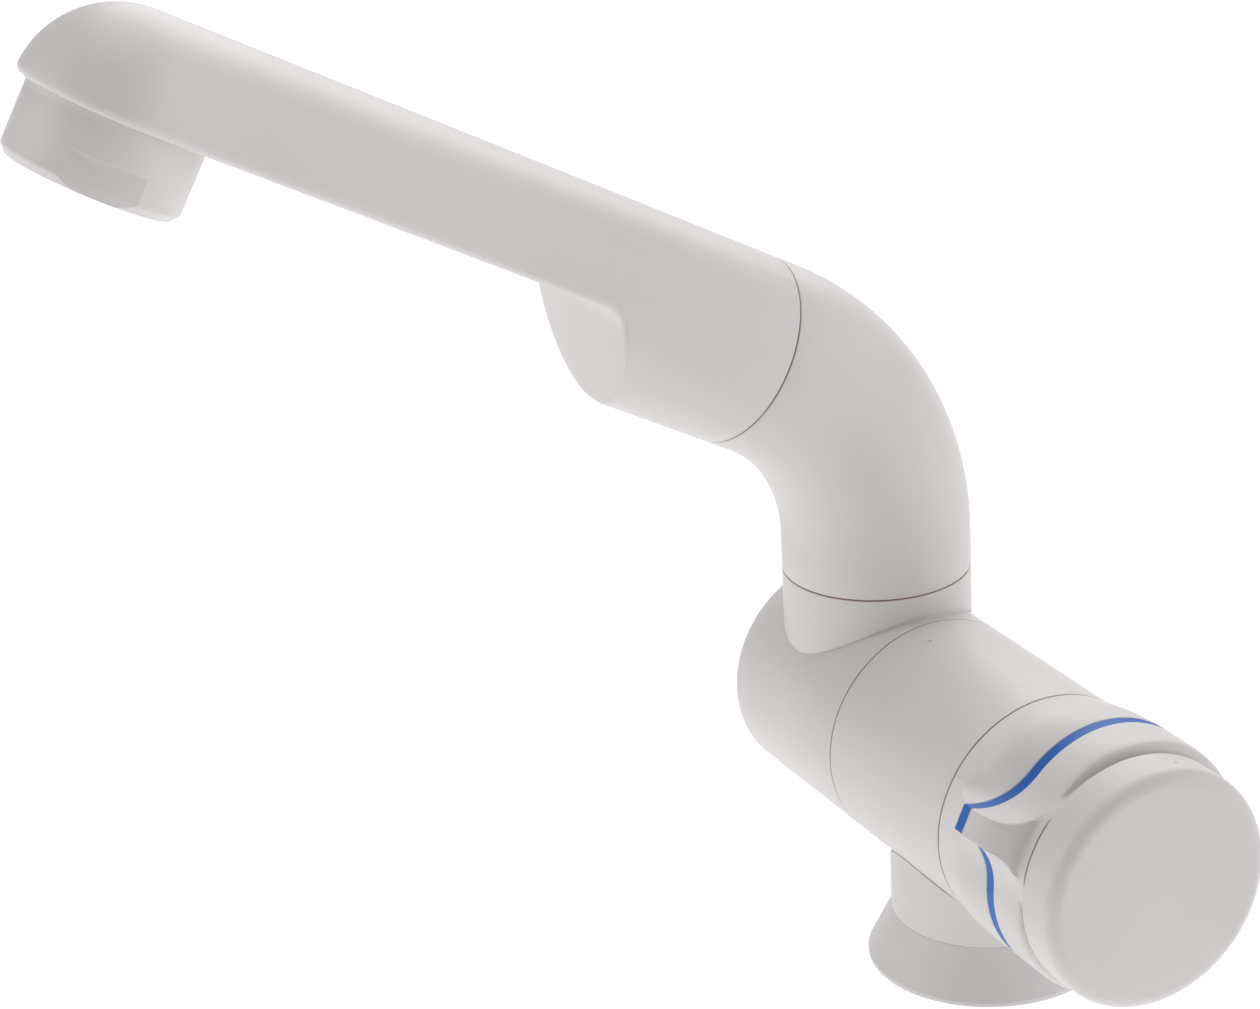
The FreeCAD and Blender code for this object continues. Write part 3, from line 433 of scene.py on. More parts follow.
FINISHES = {
    "white_plastic": white_plastic(),
    "blue_plastic": moulded("dyed_blue_plastic", BLUE_DEEP, BLUE_LIGHT, 0.46),
    "grey_plastic": moulded("grey_plastic", (0.20, 0.20, 0.21, 1), (0.25, 0.25, 0.26, 1), 0.45),
    "acetal": moulded("natural_acetal", (0.62, 0.61, 0.57, 1), (0.70, 0.69, 0.65, 1), 0.30),
    "brass": turned_metal("turned_brass", (0.52, 0.33, 0.12, 1), (0.78, 0.56, 0.26, 1), 0.22),
    "steel": turned_metal("stainless_steel", (0.42, 0.42, 0.43, 1), (0.62, 0.62, 0.63, 1), 0.24),
    "ceramic": moulded("polished_ceramic", (0.80, 0.79, 0.76, 1), (0.86, 0.85, 0.83, 1), 0.08),
    "rubber": moulded("black_rubber", (0.012, 0.012, 0.013, 1), (0.03, 0.03, 0.031, 1), 0.62),
}

for name, node in frame["nodes"].items():
    for place in node.material_slots:
        slot_name = place.material.name.split(".")[0]
        place.material = FINISHES.get(slot_name, FINISHES["white_plastic"])
        print(name, slot_name, len(node.data.polygons))

# %% [markdown]
# Most pieces are turned. On the real tap they are moulded, but a round moulding has the shape
# that a lathe gives. The outline is drawn by pulling one point along, corner by corner, and then
# spun about its axis. A rounded corner is an arc with a holding point just outside each end.
# Without those points the shading of the round would creep across the flat beside it.

# %% Turned pieces
ARC_STEPS = 8
HOLD = 0.08


def rounded_line(corners):
    """Line through corners of (radius, height, round), in millimetres, with the rounds as arcs."""
    line = []
    for k, (radius, height, bend) in enumerate(corners):
        here = Vector((radius, height))
        if not bend:
            line.append(here)
            continue
        before = (Vector(corners[k - 1][:2]) - here).normalized()
        after = (Vector(corners[(k + 1) % len(corners)][:2]) - here).normalized()
        half = before.angle(after)/2
        reach = bend/math.tan(half)
        centre = here + (before + after).normalized()*(bend/math.sin(half))
        first = (here + before*reach - centre).normalized()
        last = (here + after*reach - centre).normalized()
        line.append(here + before*(reach + HOLD))
        line += [centre + first.slerp(last, step/ARC_STEPS)*bend for step in range(ARC_STEPS + 1)]
        line.append(here + after*(reach + HOLD))
    return line


def only(piece):
    """Make this the one selected and active object."""
    bpy.ops.object.select_all(action="DESELECT")
    piece.select_set(True)
    bpy.context.view_layer.objects.active = piece


def edit(piece):
    only(piece)
    bpy.ops.object.mode_set(mode="EDIT")
    bpy.ops.mesh.select_all(action="SELECT")


def closed(piece, distance=MERGE_DISTANCE):
    """Merge what coincides, turn the faces outwards and leave edit mode."""
    bpy.ops.mesh.select_all(action="SELECT")
    bpy.ops.mesh.remove_doubles(threshold=distance)
    bpy.ops.mesh.dissolve_degenerate(threshold=distance)
    bpy.ops.mesh.normals_make_consistent(inside=False)
    bpy.ops.object.mode_set(mode="OBJECT")


def placed(piece, frame_matrix):
    """Put a piece in its place and leave its object at the origin."""
    only(piece)
    piece.matrix_world = frame_matrix @ piece.matrix_world
    bpy.ops.object.transform_apply(location=True, rotation=True, scale=True)
    return piece


def lathe(name, corners, frame_matrix):
    """Spin an outline of (radius, height, round) about the frame's z axis."""
    line = [Vector((point.x, 0, point.y))*MM for point in rounded_line(corners)]
    bpy.ops.mesh.primitive_plane_add(size=MM)
    piece = bpy.context.object
    piece.name = name
    edit(piece)
    bpy.ops.mesh.merge(type="CENTER")
    bpy.ops.transform.translate(value=line[0])
    for here, there in zip(line, line[1:] + line[:1]):
        if (there - here).length > MERGE_DISTANCE:
            bpy.ops.mesh.extrude_region_move(TRANSFORM_OT_translate={"value": there - here})
    bpy.ops.mesh.select_all(action="SELECT")
    bpy.ops.mesh.spin(steps=TURNS, angle=2*math.pi, center=(0, 0, 0), axis=(0, 0, 1))
    closed(piece)
    return placed(piece, frame_matrix)


def combine(piece, tool, operation="DIFFERENCE"):
    """Boolean with a tool piece, which is used up."""
    only(piece)
    bpy.ops.object.modifier_add(type="BOOLEAN")
    modifier = piece.modifiers[-1]
    modifier.operation = operation
    modifier.solver = "EXACT"
    modifier.object = tool
    bpy.ops.object.modifier_apply(modifier=modifier.name)
    bpy.data.objects.remove(tool)


def bored(piece, frame_matrix, start, *steps):
    """Cut a stepped round space out of a piece. A step is its radius and the height where it ends."""
    corners = [(0, start, 0)]
    for radius, end in steps:
        corners += [(radius, corners[-1][1], 0), (radius, end, 0)]
    corners.append((0, corners[-1][1], 0))
    combine(piece, lathe("bore", corners, frame_matrix))


def fitted(piece, slot_name, node):
    """Shade a piece, give it its finish and its body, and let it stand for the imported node."""
    only(piece)
    bpy.ops.object.shade_smooth_by_angle(angle=SMOOTH_ANGLE)
    piece.data.materials.clear()
    piece.data.materials.append(FINISHES[slot_name])
    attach(piece, BODY_OF[node])
    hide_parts(node)
    corners = [vertex.co/MM for vertex in piece.data.vertices]
    low, high = mm_box(node)
    off = max(max(abs(min(corner[k] for corner in corners) - low[k]),
                  abs(max(corner[k] for corner in corners) - high[k])) for k in range(3))
    print(piece.name, len(piece.data.polygons), "faces, box within", round(off, 3), "mm")


# %% [markdown]
# The flange is a shallow cone with a low upright rim, hollow below for its gasket. The cap disc
# closes the knob: a flat matt face with a broad soft edge, on a ring that snaps into the knob.
# The small cap at the other end closes the pocket of the hollow bolt. All three are round, so
# each is one turned outline.

# %% Flange, cap disc and rear cap
SHANK_R = shank_high.x
FLANGE_R = flange_high.x
FLANGE_TOP = flange_high.z
FLANGE_RIM = 0.8
FLANGE_FOOT_EDGE = 0.25
FLANGE_RIM_EDGE = 0.4
FLANGE_TOP_EDGE = 0.15
FLANGE_FLOOR = 3.5
GASKET_DEPTH = 1.5
GASKET_MARGIN = 2.0
STEM_SPIGOT_STEP = 1.0
STEM_SPIGOT_R = TUBE_R - STEM_SPIGOT_STEP
CAP_EDGE = 2.3
CAP_BACK_EDGE = 0.4
CAP_SPIGOT_R = 15.0
CAP_SPIGOT_WALL = 1.6
REAR_RIM_R = 14.6
REAR_RIM_EDGE = 0.3
REAR_THICKNESS = 2.4
REAR_SKIRT_R = 12.0
REAR_WALL = 1.4

gasket_r = FLANGE_R - GASKET_MARGIN
hole_r = SHANK_R + PUSH_FIT
step_r = STEM_SPIGOT_R + PUSH_FIT
flange = lathe("deck_flange_cone", [
    (hole_r, GASKET_DEPTH, 0), (gasket_r, GASKET_DEPTH, 0), (gasket_r, 0, 0),
    (FLANGE_R, 0, FLANGE_FOOT_EDGE), (FLANGE_R, FLANGE_RIM, FLANGE_RIM_EDGE),
    (TUBE_R, FLANGE_TOP, FLANGE_TOP_EDGE), (step_r, FLANGE_TOP, 0),
    (step_r, FLANGE_FLOOR, 0), (hole_r, FLANGE_FLOOR, 0)], DECK)
fitted(flange, "white_plastic", "deck_flange")

cap_back = cap_low.x + CAP_SPIGOT
cap_inner_r = CAP_SPIGOT_R - CAP_SPIGOT_WALL
cap = lathe("cap_disc_face", [
    (0, cap_high.x, 0), (BODY_R, cap_high.x, CAP_EDGE), (BODY_R, cap_back, CAP_BACK_EDGE),
    (CAP_SPIGOT_R, cap_back, 0), (CAP_SPIGOT_R, cap_low.x, 0),
    (cap_inner_r, cap_low.x, 0), (cap_inner_r, cap_back, 0), (0, cap_back, 0)], BODY)
fitted(cap, "white_plastic", "cap_disc")

REAR_X = fold_low.x
rim_x = REAR_X + REAR_THICKNESS
skirt_x = rim_x + REAR_THICKNESS
skirt_r = REAR_SKIRT_R - PUSH_FIT
skirt_inner_r = REAR_SKIRT_R - REAR_WALL
rear = lathe("rear_cap_plug", [
    (0, REAR_X, 0), (REAR_RIM_R, REAR_X, REAR_RIM_EDGE), (REAR_RIM_R, rim_x, 0),
    (skirt_r, rim_x, 0), (skirt_r, skirt_x, 0), (skirt_inner_r, skirt_x, 0),
    (skirt_inner_r, rim_x, 0), (0, rim_x, 0)], BODY)
fitted(rear, "white_plastic", "rear_cap")

# %% [markdown]
# The elbow is one bent tube. A disc is pulled up out of the seam, spun through the bend and pulled
# out again along the spout, once for the outside and once for the bore. The rims at both ends
# get a tiny bevel, which catches a thin line of light beside each seam.

# %% Elbow
LEAD_IN = 6.0
BEND_RADIUS = 41.0
BEND_STEPS = 60
SEAT_R = 11.02
SEAT_DEPTH = 8.0
WATERWAY_R = 6.0
SEAM_TOLERANCE = 0.001
ALONG_SPOUT = Vector((0, -math.sin(SPOUT_TILT), math.cos(SPOUT_TILT)))


def bent_rod(name, radius, beyond=0.0):
    """Round bar along the elbow's centreline, standing out past both ends by beyond."""
    start_z = ELBOW_SEAM_Z + SEAM_GAP/2 - beyond
    bend_z = ELBOW_SEAM_Z + LEAD_IN
    bend_end = Vector((STUB_X, -BEND_RADIUS*(1 - math.cos(SPOUT_TILT)),
                       bend_z + BEND_RADIUS*math.sin(SPOUT_TILT)))
    lead_out = (SPOUT_SEAM - bend_end).length - SEAM_GAP/2 + beyond
    bpy.ops.mesh.primitive_circle_add(vertices=TURNS, radius=radius*MM, fill_type="NGON",
                                      location=Vector((STUB_X, 0, start_z))*MM)
    rod = bpy.context.object
    rod.name = name
    bpy.ops.object.transform_apply(location=True)
    edit(rod)
    bpy.ops.mesh.extrude_region_move(TRANSFORM_OT_translate={"value": (0, 0, (bend_z - start_z)*MM)})
    bpy.ops.mesh.spin(steps=BEND_STEPS, angle=-SPOUT_TILT, axis=(1, 0, 0),
                      center=Vector((STUB_X, -BEND_RADIUS, bend_z))*MM)
    bpy.ops.mesh.extrude_region_move(TRANSFORM_OT_translate={"value": ALONG_SPOUT*lead_out*MM})
    closed(rod)
    return rod


def on_seam(point):
    """True for a point on either end face of the elbow."""
    from_lower = point.z - ELBOW_SEAM_Z - SEAM_GAP/2
    from_upper = (point - SPOUT_SEAM).dot(ALONG_SPOUT) + SEAM_GAP/2
    return min(abs(from_lower), abs(from_upper)) < SEAM_TOLERANCE


def bevelled(piece, wanted, width):
    """Round the edges both of whose ends, in millimetres, pass the test."""
    only(piece)
    for polygon in piece.data.polygons:
        polygon.select = False
    for vertex in piece.data.vertices:
        vertex.select = False
    for edge in piece.data.edges:
        edge.select = all(wanted(piece.data.vertices[index].co/MM) for index in edge.vertices)
    bpy.ops.object.mode_set(mode="EDIT")
    bpy.ops.mesh.select_mode(type="EDGE")
    bpy.ops.mesh.bevel(offset=width*MM, segments=3, profile=0.5)
    bpy.ops.mesh.select_mode(type="VERT")
    closed(piece)


elbow = bent_rod("elbow_tube", TUBE_R)
bevelled(elbow, on_seam, SEAM_EDGE)
combine(elbow, bent_rod("bore", WATERWAY_R, CLEAR))
for seat_frame in (STUB, SPOUT @ turned(180, "X")):
    bored(elbow, seat_frame, -CLEAR, (SEAT_R, SEAT_DEPTH))
fitted(elbow, "white_plastic", "elbow")

# %% [markdown]
# Some forms are not turned: the blends between tubes, the spout and the lobed knob. Each is
# skinned over rings of points. A disc is pulled up ring by ring, which gives a plain tube with
# its points in order, and then each point goes where a formula for that piece puts it.

# %% Skinned pieces


def skinned(name, count, rings, place, start=True, end=True):
    """Tube of rings whose point i of ring k lies at place(k, i), in millimetres."""
    fill = "NGON" if start else "NOTHING"
    bpy.ops.mesh.primitive_circle_add(vertices=count, radius=1, fill_type=fill)
    piece = bpy.context.object
    piece.name = name
    edit(piece)
    for _ in range(rings - 1):
        bpy.ops.mesh.extrude_region_move(TRANSFORM_OT_translate={"value": (0, 0, 1)})
    if start and not end:
        bpy.ops.mesh.delete(type="ONLY_FACE")
    bpy.ops.object.mode_set(mode="OBJECT")
    step = 2*math.pi/count
    for vertex in piece.data.vertices:
        turn = math.atan2(vertex.co.y, vertex.co.x) - math.pi/2
        vertex.co = place(round(vertex.co.z), round(turn/step) % count)*MM
    edit(piece)
    closed(piece)
    return piece


# %% [markdown]
# The spout starts as a round tube. A slanting face cuts its lower half away until a half-round bar
# is left, flat below, which ends in a dome over the outlet. Every section is a circle above a flat
# cut, with small rounds at the two corners. The cut's height follows a rounded line along the spout.
# At the end both halves of the section swing round the outlet's axis and meet at the tip.

# %% Spout
FACET_FOOT = 21.3
FACET_TOP = 32.5
FACET_EDGE = 1.4
FACET_HOLLOW = 5.5
FACET_SECTIONS = 16
UNDERSIDE_EDGE = 1.3
RIM_STEPS = 3
FLAT_STEPS = 6
CORNER_STEPS = 6
SIDE_STEPS = 72
DOME_STEPS = 44
HALF_SECTION = FLAT_STEPS + CORNER_STEPS + SIDE_STEPS
SOCKET_R = 10.05
SOCKET_DEPTH = 10.8
GROOVE_R = 11.32
GROOVE_START = 4.78
GROOVE_END = 6.22
SOCKET = ((SOCKET_R, GROOVE_START), (GROOVE_R, GROOVE_END), (SOCKET_R, SOCKET_DEPTH))
CUP_THREAD_HOLE_R = 11.02
CUP_THREAD_HOLE_TOP = 7.0
CHAMBER_R = 7.0
CHAMBER_TOP = 10.0
DUCT_R = 5.0
DUCT_START = 5.0
DUCT_HEIGHT = 7.5


def half_section(cut, radius):
    """Right half of the section, from the middle of its underside to its top."""
    centre_y = cut + UNDERSIDE_EDGE
    centre_x = math.sqrt(max((radius - UNDERSIDE_EDGE)**2 - centre_y**2, 0))
    tangent = math.atan2(centre_y, centre_x)
    points = [Vector((centre_x*k/FLAT_STEPS, cut)) for k in range(FLAT_STEPS)]
    for k in range(CORNER_STEPS):
        turn = -math.pi/2 + (tangent + math.pi/2)*k/CORNER_STEPS
        points.append(Vector((centre_x + UNDERSIDE_EDGE*math.cos(turn),
                              centre_y + UNDERSIDE_EDGE*math.sin(turn))))
    for k in range(SIDE_STEPS + 1):
        turn = tangent + (math.pi/2 - tangent)*k/SIDE_STEPS
        points.append(Vector((radius*math.cos(turn), radius*math.sin(turn))))
    return points


def spout_sections():
    """Half sections with their distance along the spout and, in the dome, their swing."""
    root = SEAM_GAP/2
    sections = []
    for step in range(RIM_STEPS + 1):
        turn = math.pi/2*step/RIM_STEPS
        radius = TUBE_R - SEAM_EDGE*(1 - math.sin(turn))
        sections.append((half_section(-radius, radius), root + SEAM_EDGE*(1 - math.cos(turn)), 0))
    line = rounded_line([(root, -TUBE_R, 0), (FACET_FOOT, -TUBE_R, FACET_EDGE),
                         (FACET_TOP, 0, FACET_HOLLOW), (OUTLET_REACH, 0, 0)])[1:]
    for here, there in zip(line, line[1:] + line[-1:]):
        slanting = there.y - here.y > 2*FACET_EDGE
        for share in range(FACET_SECTIONS if slanting else 1):
            point = here.lerp(there, share/FACET_SECTIONS)
            sections.append((half_section(point.y, TUBE_R), point.x, 0))
    for step in range(1, DOME_STEPS + 1):
        sections.append((half_section(0, TUBE_R), OUTLET_REACH, math.pi/2*step/DOME_STEPS))
    return sections


def spout_point(sections, k, i):
    profile, along, swing = sections[k]
    side = 1 if i <= HALF_SECTION else -1
    point = profile[i if side > 0 else 2*HALF_SECTION - i]
    return Vector((side*point.x*math.cos(swing), point.y, along + point.x*math.sin(swing)))


sections = spout_sections()
spout = skinned("spout_bar", 2*HALF_SECTION, len(sections),
                lambda k, i: spout_point(sections, k, i), end=False)
placed(spout, SPOUT)
bored(spout, SPOUT, -CLEAR, *SOCKET)
bored(spout, OUTLET, -CLEAR, (CUP_THREAD_HOLE_R, CUP_THREAD_HOLE_TOP), (CHAMBER_R, CHAMBER_TOP))
bored(spout, SPOUT @ moved(0, DUCT_HEIGHT, 0), DUCT_START, (DUCT_R, OUTLET_REACH))
fitted(spout, "white_plastic", "spout")

# %% [markdown]
# The outlet cup is turned too, then two spanner flats are cut across its lower half. A narrow
# bevel on every sharp edge does what moulding does: no edge of a plastic part is truly sharp.
# An extra ring just above the flats keeps their cut out of the wall over them.

# %% Outlet cup
CUP_R = 14.0
CUP_HEIGHT = 11.6
CUP_FLAT = 12.6
CUP_FLAT_HEIGHT = 5.6
CUP_FLAT_TURN = -17.0
CUP_HOLD = 0.15
CUP_CHAMFER_IN = 1.1
CUP_CHAMFER_UP = 1.3
CUP_ROUNDS = {"top": 0.2, "side": 0.7, "foot": 0.5, "mouth": 0.4}
CUP_SOFTENING = 0.12
CUP_THREAD_R = 11.0
CUP_THREAD = 5.48
CUP_MOUTH_R = 10.5
CUP_SHELF = 4.6
CUP_BORE = 7.0


def softened(piece, width):
    """Bevel every edge that is sharper than the smoothing angle."""
    only(piece)
    bpy.ops.object.modifier_add(type="BEVEL")
    modifier = piece.modifiers[-1]
    modifier.width = width*MM
    modifier.segments = 2
    modifier.limit_method = "ANGLE"
    modifier.angle_limit = SMOOTH_ANGLE
    bpy.ops.object.modifier_apply(modifier=modifier.name)


cup = lathe("outlet_cup_turned", [
    (CUP_BORE, CUP_THREAD, 0), (CUP_THREAD_R, CUP_THREAD, 0), (CUP_THREAD_R, -PUSH_FIT, 0),
    (CUP_R, -PUSH_FIT, CUP_ROUNDS["top"]), (CUP_R, CUP_HOLD - CUP_HEIGHT + CUP_FLAT_HEIGHT, 0),
    (CUP_R, -CUP_HEIGHT + CUP_CHAMFER_UP, CUP_ROUNDS["side"]),
    (CUP_R - CUP_CHAMFER_IN, -CUP_HEIGHT, CUP_ROUNDS["foot"]),
    (CUP_MOUTH_R, -CUP_HEIGHT, CUP_ROUNDS["mouth"]),
    (CUP_MOUTH_R, -CUP_SHELF, 0), (CUP_BORE, -CUP_SHELF, 0)], OUTLET)
for side in (-1, 1):
    block = Vector((CUP_R, 3*CUP_R, 2*CUP_FLAT_HEIGHT))*MM
    middle = Vector((side*(CUP_FLAT + CUP_R/2), 0, -CUP_HEIGHT))*MM
    bpy.ops.mesh.primitive_cube_add(size=1, scale=block, location=middle)
    combine(cup, placed(bpy.context.object, OUTLET @ turned(CUP_FLAT_TURN, "Z")))
softened(cup, CUP_SOFTENING)
fitted(cup, "white_plastic", "outlet_cup")

# %% [markdown]
# Both housings are a horizontal barrel with an upright tube. Where the tube meets the barrel runs
# a small hollow round, the path of a ball that rolls along both surfaces. The tube is skinned
# with that round at its foot and then joined to the turned barrel, so the two meet edge to edge.
# The bores leave room for what is packed inside: the hollow bolt with its head, the ceramic
# headwork with its nut, and the threaded shank.

# %% Housings
BLEND = 0.7
BLEND_STEPS = 8
LEAST_BLEND = 0.04
BARREL_EDGE = 0.14
END_EDGE = 2.0
STEM_EDGE = 0.1
STUB_RIM_SHARE = 0.3
FOOT_HOLD = 0.02
JOIN_DISTANCE = 6e-6


def tube_with_foot(name, centre_x, upward, end_line, x_low, x_high):
    """Upright tube from its open end to a rounded foot on the barrel, closed inside the barrel.

    After the end line come one ring that holds the wall, the rings of the round and one inside.
    """
    rings = len(end_line) + 1 + (BLEND_STEPS + 1) + 1

    def place(k, i):
        turn = 2*math.pi*i/TURNS
        across = Vector((math.cos(turn), math.sin(turn)))
        if k < len(end_line):
            radius, height = end_line[k]
            return Vector((centre_x + radius*across.x, radius*across.y, BODY_Z + upward*height))
        wall_x = centre_x + TUBE_R*across.x
        run_out = min(max((wall_x - x_low - END_EDGE)/(2*END_EDGE), LEAST_BLEND), 1.0)
        ball = BLEND*run_out
        reach = (TUBE_R + ball)*across
        height = math.sqrt((BODY_R + ball)**2 - reach.y**2)
        centre = Vector((reach.x, reach.y, height))
        on_tube = Vector((TUBE_R*across.x, TUBE_R*across.y, height))
        on_barrel = Vector((reach.x, reach.y*BODY_R/(BODY_R + ball), height*BODY_R/(BODY_R + ball)))
        step = k - len(end_line) - 1
        if step < 0:
            point = on_tube + Vector((0, 0, FOOT_HOLD))
        elif step <= BLEND_STEPS:
            point = centre + (on_tube - centre).slerp(on_barrel - centre, step/BLEND_STEPS)
        else:
            point = Vector((on_barrel.x, on_barrel.y, 0))
        x = min(max(centre_x + point.x, x_low), x_high)
        return Vector((x, point.y, BODY_Z + upward*point.z))

    return skinned(name, TURNS, rings, place)


def joined(barrel, tube):
    combine(barrel, tube, "UNION")
    edit(barrel)
    closed(barrel, JOIN_DISTANCE)


FOLD_FRONT = fold_high.x + SEAM_CLOSE
BOLT_SHOULDER_X = REAR_X + 8.2
BOLT_HOLE_R = 8.05
stub_top = fold_high.z + SEAM_CLOSE - BODY_Z
stub_rim = STUB_RIM_SHARE*SEAM_EDGE
fold = lathe("fold_housing_shell", [
    (0, REAR_X, 0), (BODY_R, REAR_X, END_EDGE), (BODY_R, FOLD_FRONT, BARREL_EDGE),
    (0, FOLD_FRONT, 0)], BODY)
stub = tube_with_foot("stub", STUB_X, 1, [
    (TUBE_R - SEAM_EDGE, stub_top), (TUBE_R - stub_rim, stub_top - stub_rim),
    (TUBE_R, stub_top - SEAM_EDGE), (TUBE_R, stub_top - SEAM_EDGE - HOLD)],
    REAR_X + PUSH_FIT, FOLD_FRONT - PUSH_FIT)
joined(fold, stub)
bored(fold, BODY, REAR_X - CLEAR, (REAR_RIM_R + PUSH_FIT, rim_x), (REAR_SKIRT_R, BOLT_SHOULDER_X),
      (BOLT_HOLE_R, FOLD_FRONT + CLEAR))
bored(fold, STUB @ turned(180, "X"), -CLEAR, *SOCKET)
fitted(fold, "white_plastic", "fold_housing")

FIXED_BACK = fixed_low.x - SEAM_CLOSE
FIXED_FRONT = fixed_high.x + SEAM_CLOSE
GLAND_R = 13.0
GLAND_DEPTH = 8.5
VALVE_R = 11.0
VALVE_SEAT_X = -7.0
PASSAGE_R = 4.5
BOLT_ROOT_X = -9.0
BOLT_THREAD_R = 7.0
SHANK_HOLE_R = 12.02
SHANK_TOP = 11.0
RISER_R = 5.5
RISER_TOP = 24.6
fixed = lathe("valve_housing_shell", [
    (0, FIXED_BACK, 0), (BODY_R, FIXED_BACK, BARREL_EDGE), (BODY_R, FIXED_FRONT, BARREL_EDGE),
    (0, FIXED_FRONT, 0)], BODY)
stem = tube_with_foot("stem", 0.0, -1, [
    (STEM_SPIGOT_R, BODY_Z - FLANGE_FLOOR), (STEM_SPIGOT_R, BODY_Z - FLANGE_TOP),
    (TUBE_R - STEM_EDGE, BODY_Z - FLANGE_TOP), (TUBE_R, BODY_Z - FLANGE_TOP - STEM_EDGE)],
    fixed_low.x + PUSH_FIT, fixed_high.x - PUSH_FIT)
joined(fixed, stem)
bored(fixed, BODY, fixed_high.x + CLEAR, (GLAND_R, fixed_high.x - GLAND_DEPTH), (VALVE_R, VALVE_SEAT_X),
      (PASSAGE_R, BOLT_ROOT_X), (BOLT_THREAD_R + PUSH_FIT, fixed_low.x - CLEAR))
bored(fixed, DECK, FLANGE_FLOOR - CLEAR, (SHANK_HOLE_R, SHANK_TOP), (RISER_R, RISER_TOP))
fitted(fixed, "white_plastic", "valve_housing")

# %% [markdown]
# The knob has one pointed wing between two scoops. Its outline is made of arcs: a short flat
# tip, a hollow scoop, a cheek and the round back, mirrored about the wing. Three outlines shape the
# rear half: round at the seam, a little swollen at a soft crease, and fully lobed at the blue ring.
# A point keeps its direction from one to the next, and only those of the wing fan out to the seam.

# %% Knob outlines
WING_TIP = 26.4
WING_TIP_HALF = 2.24
SCOOP_R = 11.6
SCOOP_AHEAD = 0.9
CHEEK_R = 18.5
KNOB_R = 21.5
TIP_EDGE = 0.28
TIP_SHARES = (0, 0.3, 0.6, 0.85)
EDGE_SHARES = (0.0, 0.25, 0.5, 0.75)
SCOOP_STEPS = 28
CHEEK_STEPS = 20
BACK_STEPS = 36


def on_circle(centre, radius, angle):
    return Vector((centre[0] + radius*math.cos(angle), centre[1] + radius*math.sin(angle)))


def lobe_points(inset=0.0):
    """Upper half of the lobed outline: tip corner, scoop's middle and end, cheek's middle and end."""
    centre_across = WING_TIP_HALF + math.sqrt(SCOOP_R**2 - SCOOP_AHEAD**2)
    scoop_centre = (WING_TIP + SCOOP_AHEAD, centre_across)
    reach = math.hypot(*scoop_centre)
    offset = KNOB_R - CHEEK_R
    spread = (reach**2 + offset**2 - (SCOOP_R + CHEEK_R)**2)/(2*reach*offset)
    cheek_angle = math.atan2(centre_across, scoop_centre[0]) + math.acos(spread)
    cheek_centre = (offset*math.cos(cheek_angle), offset*math.sin(cheek_angle))
    to_scoop = math.atan2(centre_across - cheek_centre[1], scoop_centre[0] - cheek_centre[0])
    cheek = CHEEK_R - inset
    scoop = SCOOP_R + inset
    tip_angle = math.pi + math.acos((scoop_centre[0] - WING_TIP + inset)/scoop)
    return [on_circle(scoop_centre, scoop, tip_angle),
            on_circle(scoop_centre, scoop, (tip_angle + math.pi + to_scoop)/2),
            on_circle(cheek_centre, cheek, to_scoop),
            on_circle(cheek_centre, cheek, (to_scoop + cheek_angle)/2),
            on_circle(cheek_centre, cheek, cheek_angle)]


def arc_through(first, middle, last, shares):
    """Points on the circle through three points, at shares of the way from first to last."""
    a, b, c = (Vector((*point, 0)) for point in (first, middle, last))
    normal = (b - a).cross(c - a)
    centre = a + ((c - a).length_squared*normal.cross(b - a)
                  + (b - a).length_squared*(c - a).cross(normal))/(2*normal.length_squared)
    start = a - centre
    whole = start.angle(c - centre)
    return [(centre + Matrix.Rotation(whole*share, 3, normal) @ start).to_2d() for share in shares]


def outline(points):
    """The whole outline, round from the middle of the wing's tip and back to it."""
    corner, scoop_mid, scoop_end, cheek_mid, cheek_end = points
    scoop_length = (scoop_end - corner).length
    foot = Vector((corner.x, 0))
    tip_share = 1 - TIP_EDGE/corner.y
    upper = [foot.lerp(corner, tip_share*share) for share in TIP_SHARES]
    before = foot.lerp(corner, tip_share)
    start = TIP_EDGE/scoop_length
    shares = [start + (1 - start)*k/SCOOP_STEPS for k in range(SCOOP_STEPS)]
    scoop = arc_through(corner, scoop_mid, scoop_end, shares)
    for share in EDGE_SHARES:
        upper.append(before.lerp(corner, share).lerp(corner.lerp(scoop[0], share), share))
    upper += scoop
    upper += arc_through(scoop_end, cheek_mid, cheek_end, [k/CHEEK_STEPS for k in range(CHEEK_STEPS)])
    back_point = Vector((-cheek_end.length, 0))
    low_end = Vector((cheek_end.x, -cheek_end.y))
    back_shares = [k/BACK_STEPS/2 for k in range(BACK_STEPS + 1)]
    upper += arc_through(cheek_end, back_point, low_end, back_shares)
    lower = [Vector((point.x, -point.y)) for point in upper[-2:0:-1]]
    return upper + lower


LOBED = outline(lobe_points())
POINTS = len(LOBED)
TIP_ANGLE = math.atan2(WING_TIP_HALF, WING_TIP)
SCOOP_ANGLE = math.atan2(lobe_points()[1].y, lobe_points()[1].x)
print("knob outline", POINTS, "points, wing", round(max(point.x for point in LOBED), 2), "mm")

# %% [markdown]
# A knob piece is skinned over rings of that outline. Each ring gives, for every point, a distance
# along the knob, a radius and a direction. Two rings that meet at an angle get a soft edge: a few
# rings between them follow a curve that the corner ring pulls towards itself. A rim's round is a
# short list that says how far each of its rings lies from the rim, and how far it is drawn in.

